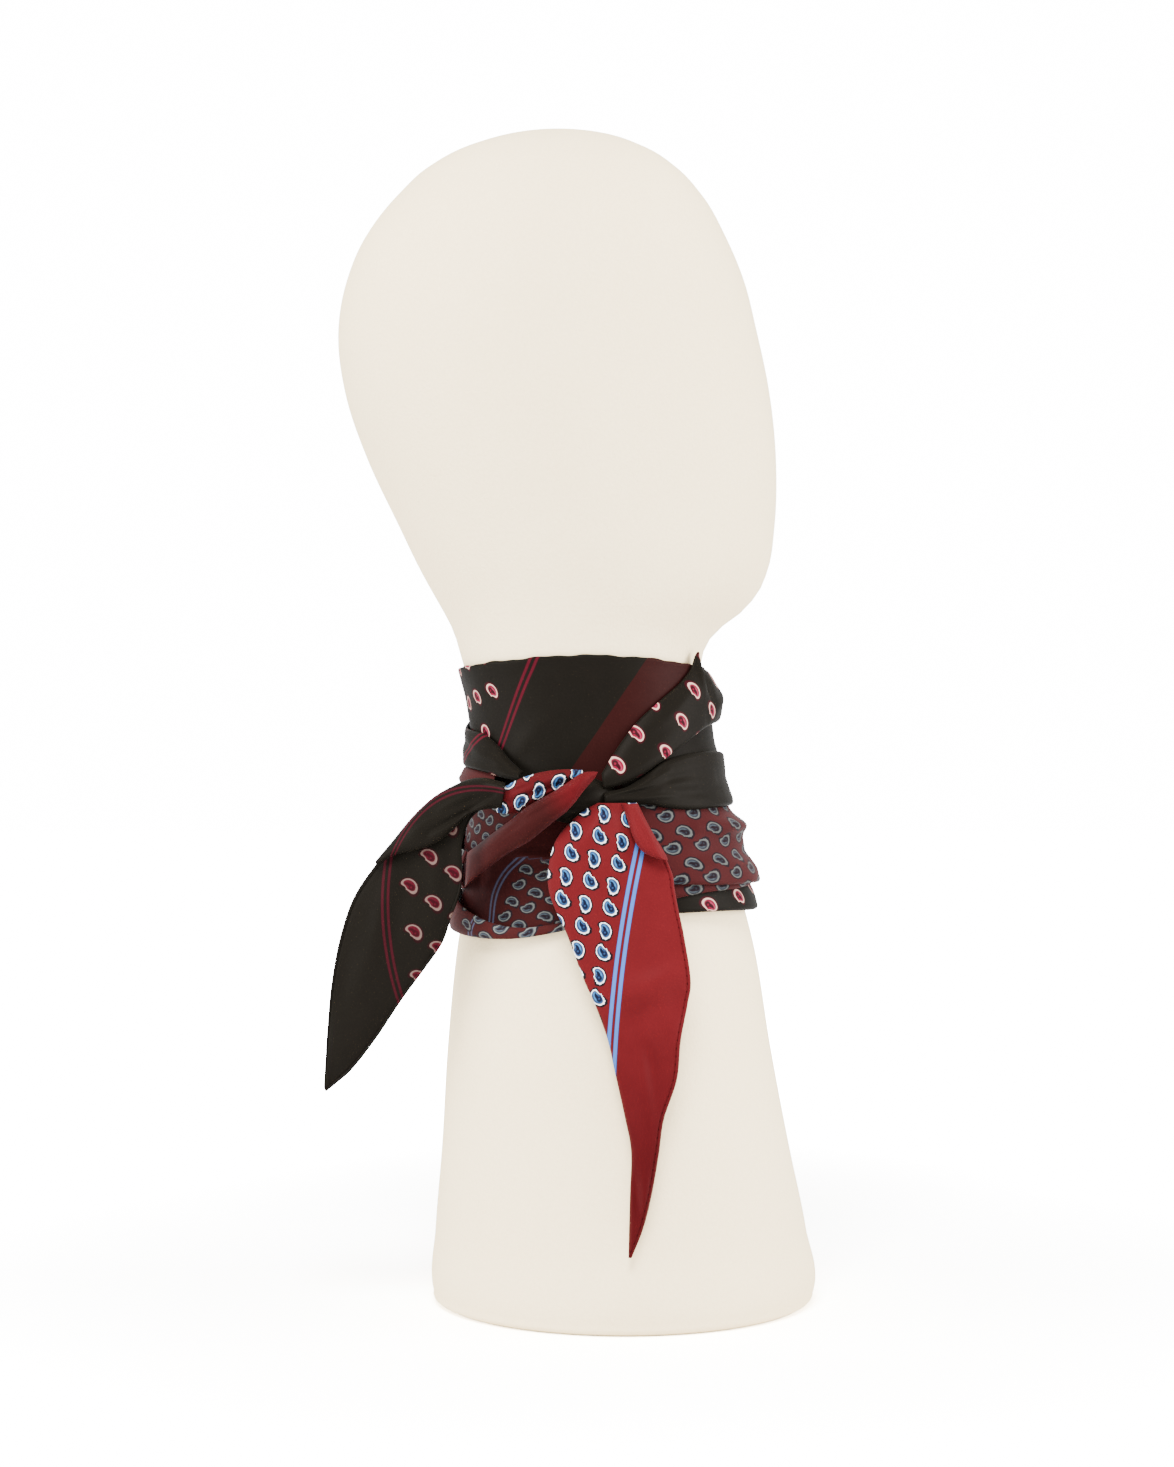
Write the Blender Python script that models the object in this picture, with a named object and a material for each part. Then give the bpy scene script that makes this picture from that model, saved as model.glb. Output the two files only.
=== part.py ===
# Silk scarf wound twice round a head form and tied at the side of the neck
#
# The head form stands on its flat base at the origin. +Z is up and the form
# looks along +X. The knot is on the side that faces -Y. Every size below is in
# millimetres or degrees, and MM turns it into metres.

import bmesh
import bpy
import numpy as np

MM = 0.001

# Cloth sizes, and the shares of a stretch's width that its folds take
WALL = 1.2
EDGE_ROLL = 0.16
RIM_SHARE = 0.4
RIM_TURN = 0.16
WALL_RISE = (0.2, 0.6)

# Mesh counts
HEAD_SIDES = 40
HEAD_RINGS_BELOW = (0, 1.5, 5, 40, 85, 125, 155, 180, 200, 215, 232, 247, 262, 276, 290)
HEAD_RINGS_ABOVE = (299, 308, 318, 331, 355, 388, 422, 455, 480, 500, 513, 522, 528.3)

# Head form outline: height, back, front, half width, narrowing of the face
FORM = (
    (0, -82.0, 82.0, 82.0, 0),
    (1.5, -85.2, 84.6, 84.8, 0),
    (5, -86.2, 86.0, 86.0, 0),
    (33, -85.3, 82.6, 83.5, 0),
    (69, -82.4, 75.2, 78.0, 0),
    (115, -79.8, 66.6, 71.5, 0),
    (160, -75.4, 59.2, 64.0, 0),
    (200, -68.6, 48.5, 56.5, 0),
    (220, -66.6, 43.0, 53.5, 0),
    (240, -66.0, 38.6, 51.5, 0),
    (260, -67.2, 35.8, 51.0, 0),
    (280, -70.8, 35.0, 52.0, 0.02),
    (294, -74.6, 36.6, 54.0, 0.05),
    (303, -77.4, 42.5, 56.0, 0.09),
    (310, -80.9, 52.0, 58.0, 0.12),
    (320, -86.6, 61.0, 61.0, 0.15),
    (330, -92.1, 65.4, 64.0, 0.17),
    (350, -101.8, 68.6, 68.5, 0.18),
    (380, -116.0, 69.3, 74.0, 0.17),
    (410, -126.2, 66.4, 77.5, 0.14),
    (440, -129.4, 60.2, 78.5, 0.10),
    (460, -125.9, 55.2, 77.0, 0.07),
    (480, -117.5, 47.0, 72.5, 0.04),
    (500, -102.0, 35.6, 62.5, 0.02),
    (511, -90.0, 25.5, 54.0, 0),
    (520, -73.5, 12.0, 41.5, 0),
    (525.5, -56.5, -2.5, 27.0, 0),
    (528.3, -44.0, -16.0, 14.0, 0),
)

# Wound stretches: angle round the neck from the knot side, bottom and top
# heights, then how far the face stands out at the bottom, middle and top
NECK_WRAP = (
    (-180, 214, 287.5, 2.0, 2.0, 2.1),
    (-120, 214, 286.5, 2.0, 2.2, 2.5),
    (-90, 214, 286.0, 2.0, 2.6, 3.2),
    (-76, 214, 286.2, 2.0, 2.3, 3.2),
    (-39, 214, 288.4, 2.0, 2.0, 2.3),
    (0, 214, 290.6, 2.0, 2.0, 2.1),
    (36, 214, 289.2, 2.0, 2.0, 2.1),
    (63, 214, 286.9, 2.0, 2.0, 2.1),
    (90, 214, 286.0, 2.0, 2.0, 2.0),
    (180, 214, 287.5, 2.0, 2.0, 2.1),
)
BOTTOM_EDGE = (
    (6, 176.5, 198, 3.0, 3.0, 2.5),
    (26, 178.0, 198, 4.6, 4.6, 2.9),
    (50, 178.2, 198, 5.8, 5.8, 3.2),
    (76, 177.2, 198, 6.4, 6.2, 3.2),
    (95, 177.0, 198, 6.0, 6.0, 3.0),
    (130, 177.5, 198, 3.2, 3.2, 2.4),
    (180, 177.0, 198, 2.3, 2.3, 2.3),
    (225, 175.0, 196, 2.8, 2.8, 2.3),
    (248, 170.6, 190, 4.6, 4.8, 3.0),
    (262.4, 168.2, 184, 5.8, 6.2, 4.8),
)
UNDER_ROLL = (
    (8, 181.5, 192, 5.2, 5.2, 4.8),
    (26, 184.4, 193, 6.8, 7.0, 6.2),
    (38, 186.4, 194, 7.6, 7.8, 6.8),
    (60, 187.6, 194, 8.1, 8.1, 7.2),
    (74, 188.4, 194, 8.3, 8.3, 7.2),
)
LOWER_WRAP = (
    (9, 190.6, 228, 8.2, 6.0, 4.3),
    (26, 190.8, 228, 9.8, 7.4, 4.5),
    (48, 189.8, 228, 10.9, 8.2, 4.7),
    (76, 189.4, 228, 11.4, 8.2, 4.8),
    (95, 188.8, 228, 11.0, 8.0, 4.7),
    (130, 188.4, 228, 7.6, 5.8, 4.0),
    (180, 188.0, 229, 5.6, 4.2, 3.8),
    (225, 187.0, 228, 5.8, 4.6, 4.1),
    (250, 186.4, 224.5, 6.6, 5.6, 4.6),
    (262, 186.2, 221, 7.2, 6.8, 6.0),
    (272, 186.2, 214, 7.6, 8.0, 7.2),
    (283, 186.4, 207, 8.4, 9.4, 8.4),
    (298.6, 188.0, 204, 10.0, 11.6, 10.0),
)
COWL = (
    (-97, 169.4, 183.8, 232, 4.6, 5.2, 2.1, 4.4),
    (-80, 168.6, 184.6, 232, 4.4, 5.9, 2.1, 4.4),
    (-68, 167.8, 180.4, 232, 4.8, 7.2, 2.1, 4.2),
    (-56, 167.1, 176.8, 232, 5.0, 7.8, 2.2, 3.8),
    (-44, 166.9, 173.2, 232, 5.0, 7.4, 2.4, 3.8),
    (-32, 167.8, 171.6, 232, 4.6, 6.2, 2.4, 3.8),
    (-22, 169.8, 172.8, 232, 4.0, 5.0, 2.4, 3.8),
    (-8, 173.8, 176.6, 232, 3.6, 4.4, 2.6, 3.8),
    (5, 177.8, 180.4, 230, 3.6, 4.4, 2.8, 3.8),
)
GATHER = (
    (3, 223.6, 231.0, 11.5, 12.5, 11.3),
    (12, 225.0, 232.8, 9.6, 11.2, 9.4),
    (20, 225.4, 236.8, 8.6, 10.0, 8.2),
    (30, 223.8, 243.0, 8.2, 9.0, 8.0),
    (42, 222.8, 246.6, 8.2, 8.4, 8.0),
    (55, 223.2, 248.2, 8.2, 8.0, 8.2),
    (90, 223.8, 248.0, 8.2, 7.8, 8.2),
    (130, 222.8, 247.0, 7.4, 7.2, 7.4),
    (180, 222.0, 246.0, 6.3, 6.2, 6.3),
    (225, 224.6, 244.2, 6.8, 6.6, 6.5),
    (250, 227.6, 242.8, 7.0, 7.0, 6.8),
    (270, 230.2, 240.6, 7.8, 8.4, 7.8),
    (290, 231.6, 238.6, 8.6, 9.4, 8.6),
    (303, 230.8, 236.4, 9.4, 10.4, 9.4),
    (315, 229.6, 234.4, 9.6, 10.6, 9.6),
)
UNDER_FOLD = (
    (12, 231.0, 242, 5.2, 4.7, 4.2),
    (24, 236.0, 250, 5.0, 4.5, 4.0),
    (40, 243.0, 260, 5.4, 4.6, 4.0),
    (60, 244.0, 266, 5.7, 4.9, 4.0),
    (90, 244.0, 268, 5.8, 5.0, 4.0),
    (130, 243.0, 267, 4.6, 4.4, 4.0),
    (180, 242.0, 266, 3.9, 3.9, 3.9),
    (212, 241.0, 260, 3.9, 3.9, 3.9),
)
FRONT_FOLD = (
    (3, 232.0, 239.0, 10.6, 11.2, 9.8),
    (9, 233.4, 247.2, 9.4, 10.2, 7.0),
    (20, 237.8, 259.0, 8.0, 8.8, 4.2),
    (35, 246.2, 270.2, 7.2, 8.0, 4.0),
    (52, 254.8, 280.8, 6.9, 8.2, 4.0),
    (58.5, 257.2, 286.2, 7.0, 8.4, 4.0),
    (62.6, 258.4, 292.8, 7.1, 8.6, 4.0),
    (66.5, 259.4, 286.8, 7.3, 9.0, 3.9),
    (72, 260.2, 285.6, 7.4, 9.4, 3.8),
    (80, 261.0, 284.6, 7.5, 9.7, 3.8),
    (92, 261.4, 283.2, 7.5, 9.6, 3.8),
    (130, 260.0, 282.6, 6.7, 6.8, 3.9),
    (180, 256.0, 279.0, 6.2, 5.6, 4.0),
    (215, 250.8, 271.8, 6.2, 5.6, 4.2),
)
LEFT_BULGE = (
    (215.5, 250.8, 271.7, 6.2, 5.6, 4.2),
    (245, 246.0, 265.0, 6.2, 5.8, 4.9),
    (270, 241.8, 259.2, 6.4, 6.1, 5.1),
    (290, 240.6, 257.6, 7.6, 7.2, 5.2),
    (303, 239.6, 255.8, 8.8, 8.2, 5.1),
    (313, 238.2, 250.4, 9.8, 9.2, 5.1),
    (321, 236.6, 244.6, 11.0, 10.4, 6.4),
    (329, 235.4, 239.6, 11.4, 11.4, 8.6),
)

# Hanging and knotted stretches, seen from the knot side: across, height and
# depth towards the viewer of one edge, the same of the other, and the swell
RIGHT_TAIL = (
    (-12.3, 226.4, 66, 6.2, 226.4, 66, 2.0),
    (-20.5, 221.3, 69, 10.0, 220.0, 70, 3.0),
    (-29.9, 210.6, 71, 15.1, 209.8, 72, 5.0),
    (-33.3, 197.8, 72, 19.7, 197.1, 74, 5.0),
    (-32.9, 188.5, 73, 21.0, 189.4, 75, 4.5),
    (-29.9, 180.0, 74, 22.7, 180.1, 76, 4.0),
    (-25.2, 170.2, 75, 24.8, 170.3, 77, 3.5),
    (-18.0, 151.1, 77, 27.7, 151.2, 78, 3.0),
    (-13.2, 140.5, 78, 26.4, 140.7, 79, 3.0),
    (-7.8, 125.7, 79, 23.4, 125.9, 81, 2.5),
    (-4.8, 112.3, 81, 21.7, 109.0, 82, 2.0),
    (-0.5, 93.0, 83, 16.1, 92.3, 84, 2.0),
    (2.1, 78.8, 85, 13.9, 77.7, 86, 1.5),
    (1.6, 60.9, 87, 10.9, 60.9, 87, 1.5),
    (1.2, 46.3, 88, 7.1, 46.3, 88, 1.0),
    (0.9, 34.7, 89, 2.4, 34.7, 89, 0.5),
)
RIGHT_TAIL_ROLL = (
    (-1.6, 226.0, 71, 6.6, 226.4, 70, 2.5),
    (1.0, 220.6, 76, 10.8, 220.8, 75, 3.0),
    (3.6, 214.4, 79, 14.6, 213.8, 77, 3.5),
    (6.2, 208.3, 80, 17.6, 206.9, 78, 3.5),
    (9.6, 203.0, 80, 16.0, 201.4, 79, 2.0),
)
LEFT_TAIL = (
    (-60.3, 233.4, 58.7, -60.3, 224.9, 58.7, 1.0),
    (-67.4, 233.4, 56.6, -67.3, 218.8, 57.6, 1.0),
    (-75.3, 230.3, 54.6, -71.7, 207.9, 57.6, 1.5),
    (-84.1, 225.0, 51.6, -72.4, 196.2, 57.4, 2.0),
    (-93.0, 217.0, 49.6, -73.6, 186.4, 56.4, 2.5),
    (-101.8, 207.2, 47.6, -75.6, 176.4, 54, 2.5),
    (-110.7, 197.0, 46, -79.6, 165.0, 52, 2.5),
    (-119.6, 183.3, 43, -87.4, 153.6, 50, 2.5),
    (-125.5, 165.6, 42, -97.4, 140.0, 47, 2.5),
    (-129.2, 145.7, 41, -109.0, 122.6, 44, 2.0),
    (-131.1, 125.8, 40, -119.6, 108.9, 42, 1.5),
    (-131.9, 112.6, 40, -126.7, 102.4, 40, 1.0),
    (-132.6, 100.7, 40, -131.5, 98.5, 40, 0.5),
)
LEFT_TAIL_FLAP = (
    (-51.8, 235.0, 66, -53.5, 224.2, 66, 2.0),
    (-60.2, 237.1, 64, -61.9, 223.3, 64, 2.5),
    (-67.2, 236.6, 61, -68.0, 221.1, 62, 2.5),
    (-75.1, 233.5, 59, -73.7, 215.4, 61, 2.5),
    (-83.9, 228.3, 56, -81.1, 209.3, 60, 2.5),
    (-92.8, 220.0, 54, -91.3, 205.3, 57, 2.5),
    (-101.6, 209.4, 52, -99.7, 203.4, 54, 1.5),
    (-109.0, 200.6, 50, -108.6, 199.0, 51, 0.5),
)
SASH = (
    (-11.0, 237.6, 68, -9.7, 228.1, 68, 1.5),
    (-14.5, 239.8, 74, -12.7, 228.6, 73, 3.0),
    (-19.6, 239.0, 76, -17.9, 229.1, 75, 3.5),
    (-26.4, 234.3, 75.8, -22.6, 226.2, 75, 4.0),
    (-34.1, 229.6, 75.0, -30.3, 218.8, 73, 4.5),
    (-41.9, 225.2, 71.8, -41.1, 210.1, 69.5, 5.0),
    (-48.9, 219.5, 66, -50.6, 204.4, 63, 5.0),
    (-57.7, 212.9, 57, -60.4, 197.1, 54, 4.5),
    (-65.9, 206.4, 44, -68.6, 190.4, 42.5, 3.5),
    (-69.6, 203.6, 35.8, -70.6, 188.2, 35.8, 2.0),
)
KNOT_FACE = (
    (-55.6, 221.9, 59.5, -56.9, 227.5, 59.5, 1.0),
    (-49.4, 221.4, 61.8, -52.8, 232.8, 63.8, 3.0),
    (-42.4, 223.4, 64.6, -47.5, 235.9, 67.8, 3.5),
    (-35.5, 227.2, 66.9, -41.0, 238.5, 70.4, 4.0),
    (-29.5, 230.2, 68.4, -33.7, 240.2, 71.2, 3.5),
    (-23.0, 232.6, 68.4, -26.0, 240.9, 70.2, 3.0),
    (-17.0, 234.9, 68.2, -18.7, 240.6, 69.2, 2.0),
)
KNOT_CORE = (
    (-35.0, 220.0, 63.3, -34.0, 230.0, 62.3, 1.0),
    (-27.0, 217.5, 63.8, -26.0, 231.0, 63.3, 1.8),
    (-18.0, 218.0, 63.3, -18.0, 231.0, 62.8, 1.8),
    (-13.0, 220.0, 61.8, -13.0, 229.0, 61.8, 1.5),
)

# Large folds on wound stretches: angle and height at both ends, rise and spread
LOWER_FOLDS = (
    (44, 215.8, 106, 215.2, 5.2, 4.0),
    (40, 203.6, 110, 203.2, -1.4, 3.0),
)
GATHER_FOLDS = (
    (2, 228.5, 30, 236.0, 1.0, 1.2),
    (2, 227.0, 34, 229.5, 0.9, 1.2),
)

# Colours
CREAM = (0.86, 0.82, 0.74)
BLACK = (0.018, 0.016, 0.013)
BURGUNDY = (0.115, 0.016, 0.022)
RED = (0.34, 0.022, 0.032)


# Table reading

def smooth(rows, at):
    """Read every column of a table smoothly at values of its first column."""
    table = np.array(rows, dtype=float)
    keys = table[:, 0]
    slope = np.gradient(table, keys, axis=0)
    at = np.clip(at, keys[0], keys[-1])
    i = np.clip(np.searchsorted(keys, at, side="right") - 1, 0, len(keys) - 2)
    span = (keys[i + 1] - keys[i])[:, None]
    t = (at[:, None] - keys[i][:, None]) / span
    start = table[i] * (1 + 2 * t) * (1 - t) ** 2
    leave = slope[i] * span * t * (1 - t) ** 2
    end = table[i + 1] * t * t * (3 - 2 * t)
    arrive = slope[i + 1] * span * t * t * (t - 1)
    return start + leave + end + arrive


def numbered(rows):
    """Number a table's rows, so that it is read by position along the stretch."""
    return [(number,) + tuple(row) for number, row in enumerate(rows)]


def edge_roll(v, first, second):
    """Depth by which the two long edges of a stretch turn in."""
    near = np.clip(1 - v / EDGE_ROLL, 0, 1) ** 2
    far = np.clip(1 - (1 - v) / EDGE_ROLL, 0, 1) ** 2
    return first * near + second * far


def fold_rise(angle, height, folds):
    """Sum of soft ridges, each along a line from one point to another."""
    rise = np.zeros_like(angle)
    for angle_a, height_a, angle_b, height_b, lift, spread in folds:
        along = np.array((angle_b - angle_a, height_b - height_a), dtype=float)
        from_a = np.stack((angle - angle_a, height - height_a), axis=-1)
        place = np.clip(from_a @ along / (along @ along), 0, 1)
        gap = np.linalg.norm(from_a - place[:, None] * along, axis=-1)
        rise += lift * np.exp(-(gap / spread) ** 2)
    return rise


# Surfaces

def on_neck(angle, height, stand):
    """A point at an angle round the form, standing out from its surface."""
    section = smooth(FORM, height)
    back, front, half = section[:, 1], section[:, 2], section[:, 3]
    turn = np.radians(angle)
    reach = (front - back) / 2 + stand
    across = (front + back) / 2 + reach * np.sin(turn)
    depth = (half + stand) * np.cos(turn)
    return np.stack((across, -depth, height), axis=-1)


def wound(rows, folds=(), rolls=(1.5, 1.5)):
    """A stretch wound on the neck: u goes round it, v from bottom to top."""
    def place(u, v):
        angle = rows[0][0] + u * (rows[-1][0] - rows[0][0])
        v = 0.5 - 0.5 * np.cos(np.pi * v)
        _, bottom, top, low, middle, high = smooth(rows, angle).T
        height = bottom + v * (top - bottom)
        stand = low * (1 - v) + high * v
        stand += (middle - (low + high) / 2) * 4 * v * (1 - v)
        stand += fold_rise(angle, height, folds)
        stand -= edge_roll(v, *rolls)
        return on_neck(angle, height, stand)
    return place


def cowl(rows):
    """The slack lower end: a back wall that turns under into an outer rim."""
    def place(u, v):
        angle = rows[0][0] + u * (rows[-1][0] - rows[0][0])
        row = smooth(rows, angle).T
        _, bottom, lip, top, turn_out, lip_out, wall_out, top_out = row
        # v comes down the rim first, turns under and then climbs the back wall
        rim = np.clip(v / RIM_SHARE, 0, 1)
        wall = np.clip((v - RIM_SHARE) / (1 - RIM_SHARE), 0, 1)
        rim_height = lip + (bottom - lip) * np.sin(rim * np.pi / 2)
        rim_stand = turn_out + (lip_out - turn_out) * np.cos(rim * np.pi / 2)
        wall_height = bottom + (top - bottom) * wall
        swing = np.clip(wall / RIM_TURN, 0, 1)
        settle = turn_out + (wall_out - turn_out) * swing * (2 - swing)
        rising = np.clip((wall - WALL_RISE[0]) / (WALL_RISE[1] - WALL_RISE[0]), 0, 1)
        wall_stand = settle + (top_out - wall_out) * rising
        height = np.where(v < RIM_SHARE, rim_height, wall_height)
        stand = np.where(v < RIM_SHARE, rim_stand, wall_stand)
        return on_neck(angle, height, stand)
    return place


def ribbon(rows, rolls=(1.5, 1.5), fullness=2):
    """A hanging stretch: u runs along it, v from its first edge to its second."""
    def place(u, v):
        row = smooth(numbered(rows), u * (len(rows) - 1)).T
        _, x_a, z_a, depth_a, x_b, z_b, depth_b, swell = row
        v = 0.5 - 0.5 * np.cos(np.pi * v)
        depth = depth_a * (1 - v) + depth_b * v
        depth += swell * (1 - np.abs(2 * v - 1) ** fullness)
        depth -= edge_roll(v, *rolls) * np.clip(swell / 2, 0, 1)
        across = x_a * (1 - v) + x_b * v
        height = z_a * (1 - v) + z_b * v
        return np.stack((across, -depth, height), axis=-1)
    return place


# Objects

def material(name, colour, roughness):
    """A plain Principled material."""
    made = bpy.data.materials.new(name)
    made.use_nodes = True
    shader = made.node_tree.nodes["Principled BSDF"]
    shader.inputs["Base Color"].default_value = (*colour, 1)
    shader.inputs["Roughness"].default_value = roughness
    shader.inputs["Metallic"].default_value = 0
    return made


def finish(name, mesh, look):
    """Link a mesh as a named object with its material."""
    mesh.materials.append(look)
    mesh.shade_smooth()
    piece = bpy.data.objects.new(name, mesh)
    bpy.context.collection.objects.link(piece)
    return piece


def grid(name, place, along, across):
    """A grid whose points are put where place(u, v) says."""
    shape = bmesh.new()
    bmesh.ops.create_grid(shape, x_segments=along, y_segments=across, size=0.5)
    mesh = bpy.data.meshes.new(name)
    shape.to_mesh(mesh)
    shape.free()
    points = np.empty(len(mesh.vertices) * 3)
    mesh.vertices.foreach_get("co", points)
    points = points.reshape(-1, 3) + 0.5
    placed = place(points[:, 0], points[:, 1]) * MM
    mesh.vertices.foreach_set("co", placed.ravel())
    mesh.update()
    return mesh


def cloth(name, place, along, across, look, closed=False):
    """A stretch of cloth with a real wall behind its outer face."""
    mesh = grid(name, place, along, across)
    if closed:
        shape = bmesh.new()
        shape.from_mesh(mesh)
        bmesh.ops.remove_doubles(shape, verts=shape.verts, dist=0.01 * MM)
        shape.to_mesh(mesh)
        shape.free()
    piece = finish(name, mesh, look)
    wall = piece.modifiers.new("wall", "SOLIDIFY")
    wall.thickness = WALL * MM
    wall.offset = -1
    wall.use_even_offset = True
    return piece


def head_form(look):
    """The form in rings from its flat base to its crown."""
    shape = bmesh.new()
    rings = []
    for height in HEAD_RINGS_BELOW + HEAD_RINGS_ABOVE:
        section = smooth(FORM, np.array([float(height)]))[0]
        _, back, front, half, narrowing = section
        ring = []
        for side in range(HEAD_SIDES):
            turn = 2 * np.pi * side / HEAD_SIDES
            across = (front + back) / 2 + (front - back) / 2 * np.sin(turn)
            narrow = 1 - narrowing * max(0, np.sin(turn))
            depth = half * np.cos(turn) * narrow
            ring.append(shape.verts.new((across * MM, -depth * MM, height * MM)))
        rings.append(ring)
    for lower, upper in zip(rings, rings[1:]):
        for side in range(HEAD_SIDES):
            after = (side + 1) % HEAD_SIDES
            shape.faces.new((lower[side], lower[after], upper[after], upper[side]))
    shape.faces.new(reversed(rings[0]))
    shape.faces.new(rings[-1])
    mesh = bpy.data.meshes.new("head_form")
    shape.to_mesh(mesh)
    shape.free()
    return finish("head_form", mesh, look)


# Model

def clear_scene():
    for piece in list(bpy.data.objects):
        bpy.data.objects.remove(piece, do_unlink=True)


def build():
    """Make the head form and every stretch of the scarf."""
    clear_scene()
    head_form(material("cream_cover", CREAM, 0.85))
    black = material("black_silk", BLACK, 0.42)
    burgundy = material("burgundy_silk", BURGUNDY, 0.45)
    red = material("red_silk", RED, 0.40)
    cloth("neck_wrap", wound(NECK_WRAP, rolls=(0, 0.3)), HEAD_SIDES, 5, black, closed=True)
    cloth("bottom_edge", wound(BOTTOM_EDGE, rolls=(0.5, 0)), 26, 4, black)
    cloth("under_roll", wound(UNDER_ROLL, rolls=(0.3, 0)), 10, 3, burgundy)
    cloth("lower_wrap", wound(LOWER_WRAP, LOWER_FOLDS, (1.0, 0)), 34, 10, burgundy)
    cloth("cowl", cowl(COWL), 18, 13, burgundy)
    cloth("gather", wound(GATHER, GATHER_FOLDS, (0.4, 0.6)), 38, 7, black)
    cloth("under_fold", wound(UNDER_FOLD, rolls=(0, 0)), 22, 3, black)
    cloth("front_fold", wound(FRONT_FOLD, rolls=(0.5, 0)), 32, 7, black)
    cloth("left_bulge", wound(LEFT_BULGE, rolls=(0.8, 0.5)), 16, 6, black)
    cloth("knot_core", ribbon(KNOT_CORE, (2, 2)), 8, 5, black)
    cloth("knot_face", ribbon(KNOT_FACE, (2.5, 2.5)), 10, 7, red)
    cloth("sash", ribbon(SASH, (3.0, 3.0), 3), 16, 8, burgundy)
    cloth("left_tail", ribbon(LEFT_TAIL, (1.0, 1.0)), 20, 6, black)
    cloth("left_tail_flap", ribbon(LEFT_TAIL_FLAP, (2.0, 2.0)), 13, 7, black)
    cloth("right_tail", ribbon(RIGHT_TAIL, (2.5, 2.0)), 26, 9, red)
    cloth("right_tail_roll", ribbon(RIGHT_TAIL_ROLL, (1.5, 2.0)), 8, 6, red)


build()
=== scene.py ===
# The finish of a printed silk scarf, wound twice round a head form and tied
# at the side of the neck. The form stands at the origin, looks along +X, and
# the knot is on the side that faces -Y. Sizes are in millimetres and degrees
# unless a name says otherwise, and MM turns them into metres.

import bmesh
import bpy
import numpy as np
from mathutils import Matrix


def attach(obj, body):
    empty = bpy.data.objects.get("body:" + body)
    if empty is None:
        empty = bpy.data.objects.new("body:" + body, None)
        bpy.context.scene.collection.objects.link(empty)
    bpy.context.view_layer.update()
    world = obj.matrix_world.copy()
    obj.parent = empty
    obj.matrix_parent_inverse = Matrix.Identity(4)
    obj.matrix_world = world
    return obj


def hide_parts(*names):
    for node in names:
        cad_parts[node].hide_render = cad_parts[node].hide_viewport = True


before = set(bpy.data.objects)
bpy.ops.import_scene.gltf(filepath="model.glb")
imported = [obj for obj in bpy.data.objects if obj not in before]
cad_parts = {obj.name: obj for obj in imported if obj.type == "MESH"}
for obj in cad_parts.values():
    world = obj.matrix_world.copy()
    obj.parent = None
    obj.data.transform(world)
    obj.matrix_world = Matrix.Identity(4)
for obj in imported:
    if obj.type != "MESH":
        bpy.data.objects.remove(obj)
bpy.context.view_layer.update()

MM = 0.001

# Cloth: thickness of the shell, and the radius that turns an angle into an arc
SHELL = 0.45
ARC = 54

# Wavering top edge: waves round the neck, height and start of each
WAVES = ((14, 1, 0), (31, 0.7, 1))

# Rolled hem: rise, distance from the edge and spread of its bead and of its
# groove, the widths over which it fades in, and a distance that no hem reaches
BEAD = (0.45, 0.7, 0.5)
GROOVE = (-0.2, 1.6, 0.45)
HEM_FITS = (3, 9)
UNHEMMED = 99

# Creases: strength at both ends against 1 in the middle, and the width below
# which they fade. Then the most of the width that the roll of one edge takes.
CREASE_ENDS = 0.35
CREASE_WIDTH = 8
ROLL_SHARE = 0.45

# Share of the form's surface that closes its base and its crown
END_SHARE = 0.03

# Slack lower end: the share of its cloth that is the rim, the share of the
# wall that swings out of the turn, the roll of the rim's edge, the shares
# between which the wall leans to its top, and the creases' strength below that
RIM_SHARE = 0.4
RIM_TURN = 0.16
RIM_ROLL = 0.8
WALL_RISE = (0.2, 0.6)
LOW_CREASES = 0.3

# Print of the slack end: the rim's shift, then a line given by its height at
# arc 0 and its slope, over which it is shifted behind the sash, and another
# over which a plain fold shows up to an arc; that plain print is also painted
# shade where the sash's shadow falls. The fold's place on the print is a start
# and a stretch across and along. The last two are the levels of the rim, which
# gets painted light, and of the wall, which gets none.
RIM_SHIFT = 9.4
BEHIND_SASH = (241, 0.7)
BEHIND_SHIFT = 30
FOLD_LINE = (198.8, -0.13)
FOLD_END = -36.5
FOLD_PRINT = (-54, 0.1, 190, 0.02)
RIM_LIGHT_LEVEL = 60
WALL_LEVEL = 200

# Head form outline: height, back, front, half width, narrowing of the face
FORM = (
    (0, -82, 82, 82, 0),
    (1.5, -85.2, 84.6, 84.8, 0),
    (5, -86.2, 86, 86, 0),
    (33, -85.3, 82.6, 83.5, 0),
    (69, -82.4, 75.2, 78, 0),
    (115, -79.8, 66.6, 71.5, 0),
    (160, -75.4, 59.2, 64, 0),
    (200, -68.6, 48.5, 56.5, 0),
    (220, -66.6, 43, 53.5, 0),
    (240, -66, 38.6, 51.5, 0),
    (260, -67.2, 35.8, 51, 0),
    (280, -70.8, 35, 52, 0.02),
    (294, -74.6, 36.6, 54, 0.05),
    (303, -77.4, 42.5, 56, 0.09),
    (310, -80.9, 52, 58, 0.12),
    (320, -86.6, 61, 61, 0.15),
    (330, -92.1, 65.4, 64, 0.17),
    (350, -101.8, 68.6, 68.5, 0.18),
    (380, -116, 69.3, 74, 0.17),
    (410, -126.2, 66.4, 77.5, 0.14),
    (440, -129.4, 60.2, 78.5, 0.1),
    (460, -125.9, 55.2, 77, 0.07),
    (480, -117.5, 47, 72.5, 0.04),
    (500, -102, 35.6, 62.5, 0.02),
    (511, -90, 25.5, 54, 0),
    (520, -73.5, 12, 41.5, 0),
    (525.5, -56.5, -2.5, 27, 0),
    (528.3, -44, -16, 14, 0),
)

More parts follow.
